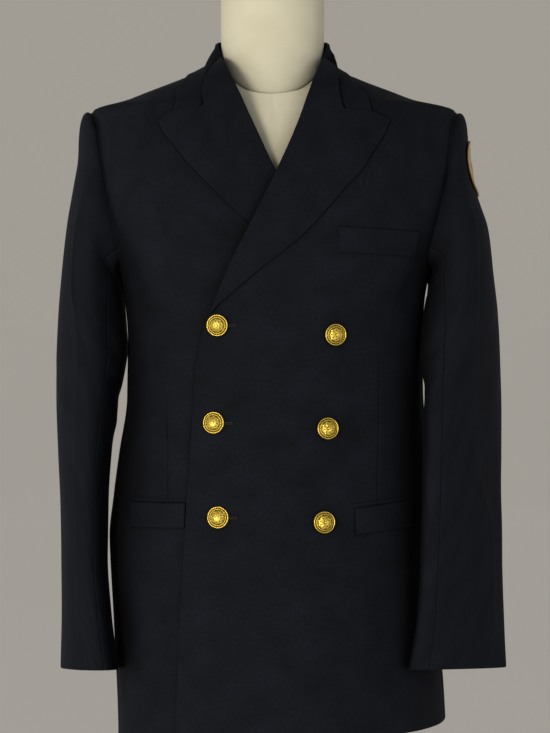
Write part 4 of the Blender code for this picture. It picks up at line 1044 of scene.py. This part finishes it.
def addSleeveHalf(name, side, first, last):
    # The top half's column at creaseAt is drawn along the pressed crease, like the front's dart.
    around, long, headShare = (last - first) * 0.8, 640, sleeveParts["headShare"]
    top = first < 0
    crease = (sleeveParts["creaseAt"] - first) / (last - first)
    rim = np.array(sleeveParts["creaseRim"]) / around
    knots = tuple(np.concatenate([crease - rim[::-1], [crease], crease + rim])) if top else ()
    share = steps(around, sleeveParts["step"], sleeveParts["gap"] / around, knots)
    down = steps(long, sleeveParts["step"], 0.0, knots=(headShare,))
    head = np.minimum(down / headShare, 1)[:, None] * np.ones(len(share))
    arm = np.maximum((down - headShare) / (1 - headShare), 0)[:, None] * np.ones(len(share))
    angle = (first + share * (last - first))[None, :] * np.ones((len(down), 1))
    _, level = sleeveSurface(side, angle, head, arm)
    if top:
        follow = tableValue(pressed[side], 1, np.clip(level[:, len(share) // 2], 270, 850))
        hat = 1 - smooth((np.abs(share - crease) - 0.03) / (min(crease, 1 - crease) - 0.05))
        angle = angle + (follow[:, None] - sleeveParts["creaseAt"]) * hat[None]
    grid, ahead, behind = (sleeveSurface(side, angle + turn, head, arm)[0] for turn in (0, 1.5, -1.5))
    normal = unit(np.cross(ahead - behind, np.gradient(grid, axis=0)) * side)
    ease = smooth(head * 1.3)
    relief = sleeveRelief(grid, side) * ease + bodyRelief(grid) * (1 - ease)
    if top:
        # Tent over the pressed crease: height * exp(-|distance / reach| ^ 1.1).
        distance = (share - crease)[None] * around
        ridge = tableValue(pressed[side], 2, np.clip(grid[..., 2], 260, 850))
        relief = relief + ridge * np.exp(-np.abs(distance / sleeveParts["creaseReach"]) ** 1.1)
    drop = edgeDrop(grid, ("pressed", "pressed", "none", "fold"))
    outer, inner = grid + normal * (relief - drop)[..., None], grid + normal * (relief - wall)[..., None]
    # Below the armhole the sleeve keeps clear of the body's creases.
    least = -3 + (3 + sleeveParts["clear"] + bodyRelief(outer)) * smooth((head - 0.35) / 0.5)
    push = liftedClear(outer, least) - outer
    outer, inner = outer + push, inner + push
    tuckOuter, tuckInner = (tuckedRows(side, angle[0], rows) for rows in (tuck["outer"], tuck["inner"]))
    addShell(name, np.concatenate([tuckOuter, outer]), np.concatenate([tuckInner, inner]))


near, far = sleeveParts["under"]
for word, side in words.items():
    addSleeveHalf("sleeve_top_" + word, side, far - 360, near)
    addSleeveHalf("sleeve_under_" + word, side, near, far)
print("sleeves made")


# Pocket flaps and the chest welt

flap = {"lip": 4.0, "lipLift": 0.55, "slit": 0.25, "lift": 2.3, "thick": 1.5, "rise": 1.3, "step": 2.4}
flapCorners = {  # by side, as height and distance
    1: [(443.5, 85), (450, 150), (421, 150), (415, 86)], -1: [(449, 96), (447, 158), (420, 158), (422, 97)]}
welt = {"corners": [(742, 67), (739, 156), (712, 152), (715, 67)], "lift": 1.25, "foot": 0.2, "rise": 1.0}


def cornerGrid(corners, side, s, t):
    # Coons patch between four corners, its sides straight when seen from the front.
    c = np.array(corners, float)
    return coons(*(frontCurve(c[pair], side) for pair in ([3, 2], [0, 1], [3, 0], [2, 1])), s, t)


def addFlap(name, side):
    # Under the slit's lip the flap rolls out and hangs: its lift over the distance down from the slit.
    raised = np.array(flapCorners[side], float)
    raised[:2, 0] += flap["lip"]
    s, t = np.meshgrid(steps(64, flap["step"], 0.0), np.concatenate(
        [steps(27, flap["step"], 0.0, rim=(0.3, 0.7, 1.2, 1.9))[:-1] * 0.87,
         0.87 + 0.13 * np.array([0, 0.1, 0.25, 0.5, 0.8, 0.93, 1.0])]))
    grid = cornerGrid(raised, side, s, t)
    normal, surface = onBody(side, grid[..., 0], grid[..., 1])
    toLeft, toRight, up, down = borderDistances(surface)
    below = down - flap["lip"]
    roll = smooth(below / flap["rise"])
    lip = flap["lipLift"] * smooth(-below / 0.7)
    edge = 0.7 * (np.exp(-(np.minimum(toLeft, toRight) / 0.8) ** 2) + np.exp(-(up / 0.8) ** 2))
    lift = lip + flap["slit"] + (flap["lift"] - flap["slit"]) * roll - np.minimum(edge, 0.9) * roll
    ends = np.exp(-(np.minimum(toLeft, toRight) / 1.4) ** 2) * (1 - roll)
    relief = bodyRelief(surface)
    outer = surface + normal * (relief + lift - 0.5 * ends)[..., None]
    inner = surface + normal * (relief + np.maximum(lift - flap["thick"], -0.9))[..., None]
    addShell(name, outer, inner)


def addWelt():
    # Nearly flush: open at its top edge, sewn in at its foot and down both ends.
    s, t = np.meshgrid(steps(89, flap["step"], 0.0), steps(27, flap["step"], 0.0))
    grid = cornerGrid(welt["corners"], 1, s, t)
    normal, surface = onBody(1, grid[..., 0], grid[..., 1])
    toLeft, toRight, up, down = borderDistances(surface)
    sewn = np.minimum(np.minimum(toLeft, toRight), up)
    lift = welt["foot"] + (welt["lift"] - welt["foot"]) * smooth(sewn / welt["rise"])
    lift = lift + 0.5 * smooth(1 - down / 9) - 0.5 * np.exp(-(down / 0.7) ** 2)
    relief = bodyRelief(surface)
    addShell("chest_welt", surface + normal * (relief + lift)[..., None],
             surface + normal * (relief + np.minimum(lift - 1.2, 0.1))[..., None])


for word, side in words.items():
    addFlap("flap_" + word, side)
addWelt()
print("flaps and welt made")


# Buttons

buttonPlaces = [  # height, distance across to the wearer's left, seat above the cloth, own turn
    (638, -61, 1.0, 14), (628, 64, 1.6, -22), (534, -65, 0.4, 31), (528, 56, 0.7, 8), (434, -60, 0.7, -12),
    (429, 52, 0.7, 40)]
button = {"radius": 11.6, "dome": 3.6, "rimWidth": 1.5, "rimHeight": 1.1, "ropeTurns": 44, "leaves": 8,
          "relief": 0.62, "spread": 1.22, "beads": 28, "around": 132, "shank": 10.4}


def buttonRelief(r, turn):
    # Struck pattern on the dome, 0 to 1: an eight-leaved rosette with a ring of beads round it.
    r = r / button["spread"]
    lobe = np.abs(np.cos(button["leaves"] / 2 * turn)) ** 0.6
    leaf = smooth((0.24 + 0.36 * lobe - r) / 0.05) * smooth((r - 0.13) / 0.04)
    vein = 1 - 0.55 * np.exp(-((np.sin(button["leaves"] / 2 * turn) * r) / 0.035) ** 2)
    between = np.abs(np.sin(button["leaves"] / 2 * turn)) ** 5
    point = smooth((0.62 - r) / 0.04) * smooth((r - 0.44) / 0.05) * between
    heart = smooth((0.11 - r) / 0.03)
    bead = np.exp(-((r - 0.71) / 0.034) ** 2) * (0.25 + 0.75 * np.cos(button["beads"] / 2 * turn) ** 2)
    return np.clip(leaf * vein + point + heart + bead, 0, 1)


def addButton(number, height, across, seat, own):
    # Rings from the back of the shell round the rope rim and over the dome: z = dome * (1 - r^2) + relief.
    angle = angleAt(float(height), float(across))
    normal = bodyNormal(angle, float(height))
    place = bodyPoint(angle, float(height), seat)
    sideways = unit(np.cross(np.array([0, 0, 1.0]), normal))
    upright = np.cross(normal, sideways)
    turn = np.linspace(0, 2 * np.pi, button["around"], endpoint=False)[None]
    radius, rim = button["radius"], button["rimWidth"]
    inside = np.linspace(1, 0, 40)[:, None]
    face = (radius - rim) * inside
    pattern = buttonRelief(inside, turn + math.radians(own))
    level = 1.7 + button["dome"] * (1 - inside ** 2) + button["relief"] * pattern
    bend = np.radians(np.linspace(-70, 205, 15))[:, None]
    rope = 1 + 0.16 * np.cos(button["ropeTurns"] * turn + 2.2 * bend)
    rimR = radius - rim / 2 + (rim / 2) * rope * np.cos(bend)
    rimZ = 1.3 + button["rimHeight"] * rope * np.sin(bend)
    back = np.array([(0.0, 0.3), (button["shank"] * 0.6, 0.2), (button["shank"], 0.25)])[:, :, None]
    flat = np.ones_like(turn)
    r = np.concatenate([back[:, 0] * flat, rimR, face * flat])
    z = np.concatenate([back[:, 1] * flat, rimZ, level])
    rimShade = 0.35 + 0.65 * smooth(np.sin(bend) + 0.1) * rope / 1.1
    shade = np.concatenate([0.3 * np.ones((3, 1)) * flat, rimShade, 0.14 + 0.86 * pattern ** 0.8])
    shade[-40:-38] *= 0.4
    spoke = np.cos(turn)[..., None] * sideways + np.sin(turn)[..., None] * upright
    points = place + r[..., None] * spoke + z[..., None] * normal
    ringMesh("button_%d" % number, "gilt", points, giltBrass, np.clip(shade, 0, 1))


for number, (height, across, seat, own) in enumerate(buttonPlaces, 1):
    addButton(number, height, across, seat, own)
print("buttons made")


# Buttonholes of the left front's edge

buttonhole = {"length": 21.0, "halfWidth": 0.85, "cord": 0.62, "purls": 46, "tackHeight": 5.4, "lift": 0.35}


def addButtonhole(number, height, across):
    # A thread-bound slot: purl * (1 + 0.2 cos(k t)) round a stadium, with a bar tack at its inner end.
    t = np.linspace(0, 1, 184, endpoint=False)
    half, wide = buttonhole["length"] / 2, buttonhole["halfWidth"]
    straight, bow = 2 * half, math.pi * wide
    total = 2 * straight + 2 * bow
    d = t * total
    legs = [d < straight, d < straight + bow, d < 2 * straight + bow]
    turn1, turn2 = (d - straight) / wide, (d - 2 * straight - bow) / wide
    x = np.select(legs, [d - half, half + wide * np.sin(turn1), half - (d - straight - bow)],
                  -half - wide * np.sin(turn2))
    y = np.select(legs, [-wide + 0 * d, -wide * np.cos(turn1), wide + 0 * d], wide * np.cos(turn2))
    way = unit(np.stack([np.gradient(x), np.gradient(y)], axis=-1))
    ring = np.linspace(0, 2 * np.pi, 10, endpoint=False)
    thick = buttonhole["cord"] * (1 + 0.2 * np.cos(2 * np.pi * buttonhole["purls"] * t))[:, None]
    offX, offY = (way[:, 1:] * np.cos(ring) * thick), (-way[:, :1] * np.cos(ring) * thick)
    flatX, flatY, level = x[:, None] + offX, y[:, None] + offY, 0.9 * thick * np.sin(ring)
    barT = np.linspace(0, 1, 27)[:, None]
    barR = 0.95 * np.sin(np.pi * np.clip(barT, 0.02, 0.98)) ** 0.35
    barR = barR * (1 + 0.16 * np.cos(2 * np.pi * 9 * barT))
    barX = half + 1.3 + barR * np.cos(ring)
    barY = (barT - 0.5) * buttonhole["tackHeight"] + 0 * ring
    barZ = 0.9 * barR * np.sin(ring)
    faces, groups, start = [], [], 0
    for gx, gy, gz, closed in ((flatX, flatY, level, True), (barX, barY, barZ, False)):
        rows, columns = gx.shape
        i, j = np.meshgrid(np.arange(rows if closed else rows - 1), np.arange(columns), indexing="ij")
        a, b = start + i * columns + j, start + i * columns + (j + 1) % columns
        c, e = start + (i + 1) % rows * columns + (j + 1) % columns, start + (i + 1) % rows * columns + j
        faces += np.stack([a, b, c, e], axis=-1).reshape(-1, 4).tolist()
        if not closed:
            faces += [list(range(start, start + columns))[::-1],
                      list(range(start + (rows - 1) * columns, start + rows * columns))]
        groups.append(np.stack([gx, gy, gz], axis=-1).reshape(-1, 3))
        start += rows * columns
    flat = np.concatenate(groups)
    at = angleAt(height + flat[:, 1], across + flat[:, 0])
    surface = bodyPoint(at, height + flat[:, 1])
    points = bodyPoint(at, height + flat[:, 1], bodyRelief(surface) + buttonhole["lift"] + flat[:, 2])
    made = makeObject("buttonhole_%d" % number, points, faces, threadSilk)


for number, (height, across) in enumerate(((637.6, -53.0), (533.6, -57.0), (433.6, -52.0)), 1):
    addButtonhole(number, height, across)
print("buttonholes made")


# Shoulder patch

patch = {"heights": (785, 848), "angles": (-40, 42), "square": 2.4, "seat": 0.9, "ground": 0.9,
         "edge": 0.085, "edgeRise": 1.25, "ringAt": 0.73, "ringWidth": 0.03, "star": (0.56, 0.25),
         "starRise": 0.8}


def addPatch():
    # A superellipse plate on the sleeve: raised stitched edge, plain ring and a five-pointed star.
    turn = np.linspace(0, 2 * np.pi, 240, endpoint=False)[None]
    r = np.concatenate([np.linspace(0, 0.88, 46), np.linspace(0.9, 1.0, 13)])[:, None]
    power = 2 / patch["square"]
    u = r * np.sign(np.cos(turn)) * np.abs(np.cos(turn)) ** power
    v = r * np.sign(np.sin(turn)) * np.abs(np.sin(turn)) ** power
    around, size = np.arctan2(v, u), np.hypot(u, v)
    outerR, innerR = patch["star"]
    fifth = 2 * np.pi / 5
    fold = np.abs((around - np.pi / 2 + fifth / 2) % fifth - fifth / 2)
    starEdge = (outerR * innerR * np.sin(fifth / 2)
                / (outerR * np.sin(fold) + innerR * np.sin(fifth / 2 - fold)))
    inStar = smooth((starEdge - size) / 0.018)
    ring = np.exp(-((r - patch["ringAt"]) / patch["ringWidth"]) ** 4)
    edge = smooth((r - 1 + patch["edge"]) / 0.012)
    across = np.clip((1 - r) / patch["edge"], 0, 1)
    bead = edge * patch["edgeRise"] * np.sqrt(np.clip(1 - (2 * across - 1) ** 2, 0, 1))
    stitched = 1 + 0.10 * np.cos(150 * turn + 5 * across)
    lift = (patch["ground"] + bead * stitched + 0.45 * ring
            + patch["starRise"] * inStar * (1 - 0.6 * size / outerR))
    shade = np.clip(edge * 0.85 + ring * 0.95 + inStar * 0.95, 0, 1)
    outline = smooth((r - 0.895) / 0.01) * (1 - smooth((r - 0.915) / 0.01)) + smooth((r - 0.985) / 0.01)
    shade = np.clip(shade - 0.45 * outline, 0, 1)
    (low, high), (first, last) = patch["heights"], patch["angles"]
    height, angle = (low + high) / 2 + v * (high - low) / 2, (first + last) / 2 + u * (last - first) / 2
    point = sleeveRing(1, angle, height)
    ahead = sleeveRing(1, angle + 1, height) - sleeveRing(1, angle - 1, height)
    up = sleeveRing(1, angle, height + 1) - sleeveRing(1, angle, height - 1)
    normal = unit(np.cross(up, ahead))
    top = point + normal * (patch["seat"] + lift)[..., None]
    under = point + normal * (patch["seat"] * np.ones_like(lift))[..., None]
    rings = np.concatenate([under, top[::-1]])
    made = ringMesh("shoulder_patch", "badge", rings, embroidery,
                    np.concatenate([0 * shade + 0.1, shade[::-1]]))


addPatch()
print("patch made")


# Dress form and its stand

formInset = np.array([
    # height, side, front, back: how far inside the coat's outer face the form lies
    [220, 13, 8, 9], [400, 12, 8, 9], [560, 8, 8, 8], [620, 8, 12, 8], [680, 8, 13.5, 8], [800, 6, 13, 8],
    [850, 3.8, 12, 7.5], [880, 3.2, 12, 6.5], [908, 3.2, 12, 6.5], [926, 6.0, 11, 6.4], [985, 5.6, 6, 5.6]])
form = {"bottom": 226, "straightTop": 862, "top": 1062, "aside": -2.8, "neckFoot": (62.8, -8, 72),
        "neckJoin": (56.2, -8, 58.5), "joinHeight": 929, "joinDip": 39, "neckTop": (58.4, -1, 51),
        "capShare": 0.93, "neckGap": 0.4, "seamDepth": 0.55, "seamReach": 0.8}
neckPull = np.array([(0, 0), (0.2, 0.75), (0.4, 0.97), (0.97, 1.0), (1.0, 1.0)], float)
stand = {"poleRadius": 16, "baseRadius": 165, "baseHeight": 18, "baseEdge": 4, "footEdge": 1, "gap": 0.3}


def heightOver(across, along):
    # The height at which the body's surface passes over this place of the plan, by halving.
    low, high = np.full(np.shape(across), 701.0), np.full(np.shape(across), 947.0)
    for _ in range(40):
        middle = (low + high) / 2
        wide, front, back, rounding = section(middle, across)
        deep = np.where(along < 0, front, back)
        inside = (np.abs(across) / wide) ** rounding + (np.abs(along) / deep) ** rounding < 1
        low, high = np.where(inside, middle, low), np.where(inside, high, middle)
    return low


def insetAt(angle, height):
    share = np.cos(np.radians(angle)) ** 2
    side, front, back = (tableValue(formInset, column, height) for column in (1, 2, 3))
    return side * (1 - share) + np.where(np.cos(np.radians(angle)) > 0, front, back) * share


def ellipse(shape, angle):
    wide, middle, deep = shape
    return form["aside"] + wide * np.sin(np.radians(angle)), middle - deep * np.cos(np.radians(angle))


def addForm():
    fine = np.array([-2.4, -1.2, -0.7, -0.35, 0, 0.35, 0.7, 1.2, 2.4])
    coarse = np.linspace(-180, 180, 121)[:-1]
    seamAngles = np.array([-180, -90, 0, 90, 180])
    coarse = coarse[np.min(np.abs(coarse[:, None] - seamAngles), axis=1) > 3.2]
    angle = np.sort(np.concatenate([coarse] + [fine + a for a in seamAngles[:-1]]))
    nearest = np.min(np.abs(angle[:, None] - seamAngles), axis=1)
    rings = []
    for height in np.linspace(form["bottom"], form["straightTop"], 80):
        level = np.full(len(angle), float(height))
        soft = 6 * (1 - min(1, (height - form["bottom"]) / 8)) ** 2
        rings.append(bodyPoint(angle, level, -insetAt(angle, level) - soft))
    rings[0][:, 2] = form["bottom"]
    last = rawPoint(angle, np.full(len(angle), float(form["straightTop"])))
    footAcross, footAlong = ellipse(form["neckFoot"], angle)
    for share in np.linspace(0, 0.88, 26)[1:]:
        across = last[:, 0] * (1 - share) + footAcross * share
        along = last[:, 1] * (1 - share) + footAlong * share
        height = heightOver(across, along)
        points = np.stack([across, along, height], axis=-1)
        rings.append(points - bodyDistance(points)[1] * insetAt(angle, height)[:, None])
    across, along = ellipse(form["neckJoin"], angle)
    dip = np.maximum(0, np.cos(np.radians(angle))) ** 1.5
    seam = np.stack([across, along, form["joinHeight"] - form["joinDip"] * dip], axis=-1)
    foot = rings[-1]
    for share in (0.25, 0.5, 0.75, 0.92):
        sag = 1.2 * math.sin(math.pi * share)
        rings.append(foot * (1 - share) + seam * share - np.array([0, 0, sag]))
    rings.append(seam - np.array([0, 0, 0.5]))
    rings = np.array(rings)
    radial = rings - rings.mean(axis=1, keepdims=True)
    width = np.linalg.norm(radial[..., :2], axis=-1) * np.radians(nearest)
    groove = form["seamDepth"] * np.exp(-(width / form["seamReach"]) ** 2)
    rings = rings - unit(radial * np.array([1, 1, 0])) * groove[..., None]
    middle = seam.mean(axis=0)
    bottom = np.tile(np.array([0, rings[0][:, 1].mean(), form["bottom"]]), (1, len(angle), 1))
    ringMesh("form_torso", "cover", np.concatenate([bottom, rings, np.tile(middle, (1, len(angle), 1))]),
             creamCotton)

    topAcross, topAlong = ellipse(form["neckTop"], angle)
    crown = np.stack([topAcross, topAlong, np.full(len(angle), float(form["top"]))], axis=-1)
    centre = np.array([form["aside"], form["neckTop"][1], 0.0])
    neck = []
    for share in np.concatenate([[0, 0.004, 0.012], np.linspace(0.03, 0.955, 40)]):
        pull = tableValue(neckPull, 1, share)
        ring = seam * (1 - share) + crown * share
        ring[:, :2] = seam[:, :2] * (1 - pull) + crown[:, :2] * pull
        tucked = 1 - 0.010 * math.exp(-(share / 0.006) ** 2)
        neck.append(centre + (ring - centre) * np.array([tucked, tucked, 1]))
    for bend in np.radians(np.linspace(10, 90, 8)):
        share = 0.955 + 0.045 * math.sin(bend)
        ring = seam * (1 - share) + crown * share
        size = form["capShare"] + (1 - form["capShare"]) * math.cos(bend)
        ring[:, :2] = centre[:2] + (crown[:, :2] - centre[:2]) * size
        neck.append(ring)
    rise = np.array([0, 0, form["neckGap"]])
    neck = np.array(neck) + rise
    tip = np.tile(centre + np.array([0, 0, form["top"] + form["neckGap"]]), (1, len(angle), 1))
    ringMesh("form_neck", "cover", np.concatenate([np.tile(middle + rise, (1, len(angle), 1)), neck, tip]),
             creamCotton)


def addTurned(name, profile, around):
    # Turned about the upright axis: radius and height pairs, closed at both ends.
    turn = np.linspace(0, 2 * np.pi, around, endpoint=False)
    circle = np.stack([np.cos(turn), np.sin(turn), np.zeros(around)], axis=-1)
    rings = np.array([circle * radius + np.array([0, 0, level]) for radius, level in profile])
    ringMesh(name, "enamel", rings, stovedSteel)


def rounded(radius, level, size, first, last, count=7):
    # A quarter round of this size about a corner of the profile.
    bend = np.radians(np.linspace(first, last, count))
    return [(radius - size + size * math.cos(a), level + size * math.sin(a)) for a in bend]


addForm()
radius, thick, edge = stand["baseRadius"], stand["baseHeight"], stand["baseEdge"]
addTurned("form_base", [(0, 0), (radius - stand["footEdge"], 0), (radius, stand["footEdge"])]
          + rounded(radius, thick - edge, edge, 0, 90)
          + [(radius * 0.6, thick), (radius * 0.2, thick), (0, thick)], 160)
foot, head, pole = thick + stand["gap"], form["bottom"] - stand["gap"], stand["poleRadius"]
addTurned("form_pole", [(0, foot), (pole - 0.8, foot), (pole, foot + 0.8), (pole, head - 0.8),
                        (pole - 0.8, head), (0, head)], 72)
print("form and stand made")


# Floor, light and camera

floor = {"flat": 5.2, "rise": 2.2, "drop": 0.0003, "tall": 7.0}


def addFloor():
    # A round pale floor that curves up into a wall all round.
    bend = np.linspace(0, np.pi / 2, 20)
    radius = np.concatenate([np.linspace(0, floor["flat"], 14),
                             floor["flat"] + floor["rise"] * np.sin(bend[1:]),
                             [floor["flat"] + floor["rise"]] * 3])
    height = np.concatenate([np.zeros(14), floor["rise"] * (1 - np.cos(bend[1:])),
                             floor["rise"] + np.linspace(0, floor["tall"], 4)[1:]]) - floor["drop"]
    turn = np.linspace(0, 2 * np.pi, 128, endpoint=False)
    points = np.stack([radius[1:, None] * np.cos(turn), radius[1:, None] * np.sin(turn),
                       height[1:, None] + 0 * turn], axis=-1).reshape(-1, 3)
    points = np.concatenate([points, [[0, 0, height[0]]]])
    rows, around = len(radius) - 1, len(turn)
    i, j = np.meshgrid(np.arange(rows - 1), np.arange(around), indexing="ij")
    a, b = i * around + j, i * around + (j + 1) % around
    faces = np.stack([a, a + around, b + around, b], axis=-1).reshape(-1, 4).tolist()
    faces += [[j, (j + 1) % around, len(points) - 1] for j in range(around)]
    mesh = bpy.data.meshes.new("studio_floor")
    mesh.from_pydata(points.tolist(), [], faces)
    mesh.shade_smooth()
    mesh.materials.append(paperMaterial())
    made = bpy.data.objects.new("studio_floor", mesh)
    bpy.context.scene.collection.objects.link(made)


def addLight(name, place, aim, size, power, colour):
    # Soft rectangle, aimed at a point, unseen by the camera.
    lamp = bpy.data.lights.new(name, "AREA")
    lamp.shape, lamp.size, lamp.size_y = "RECTANGLE", size[0], size[1]
    lamp.energy, lamp.color = power, linear(colour)[:3]
    made = bpy.data.objects.new(name, lamp)
    made.location = place
    made.rotation_euler = (Vector(aim) - Vector(place)).to_track_quat("-Z", "Y").to_euler()
    made.visible_camera = False
    bpy.context.scene.collection.objects.link(made)


lights = {
    # place, aim, size, power, colour
    "key": ((-1.6, -3.0, 0.25), (-0.05, 0, 0.5), (1.0, 0.8), 82, "#fff8ec"),
    "fill": ((1.9, -3.0, 0.3), (0.1, 0, 0.4), (1.2, 1.0), 18, "#f4f7ff"),
    "top": ((0.0, -1.6, 2.9), (0, 0, 0.9), (1.6, 1.2), 2, "#ffffff"),
    "rimLeft": ((-2.4, 0.4, 0.8), (-0.2, 0, 0.5), (0.5, 1.8), 9, "#f4f7ff"),
    "rimRight": ((2.4, 0.6, 0.8), (0.2, 0, 0.5), (0.5, 1.8), 3, "#f4f7ff"),
}
camera = {"place": (0, -2.0, 0.594), "lens": 86.93, "sensor": 36.0}

addFloor()
for name, settings in lights.items():
    addLight(name, *settings)
world = bpy.data.worlds.new("studio_air")
world.use_nodes = True
world.node_tree.nodes["Background"].inputs["Color"].default_value = linear("#d9d8d8")
world.node_tree.nodes["Background"].inputs["Strength"].default_value = 0.22
bpy.context.scene.world = world
bpy.context.scene.view_settings.view_transform = "Standard"

lens = bpy.data.cameras.new("camera")
lens.sensor_fit, lens.sensor_height, lens.lens = "VERTICAL", camera["sensor"], camera["lens"]
lens.clip_end = 60
eye = bpy.data.objects.new("camera", lens)
eye.location, eye.rotation_euler = camera["place"], (math.pi / 2, 0, 0)
bpy.context.scene.collection.objects.link(eye)
bpy.context.scene.camera = eye
print("lights and camera placed")
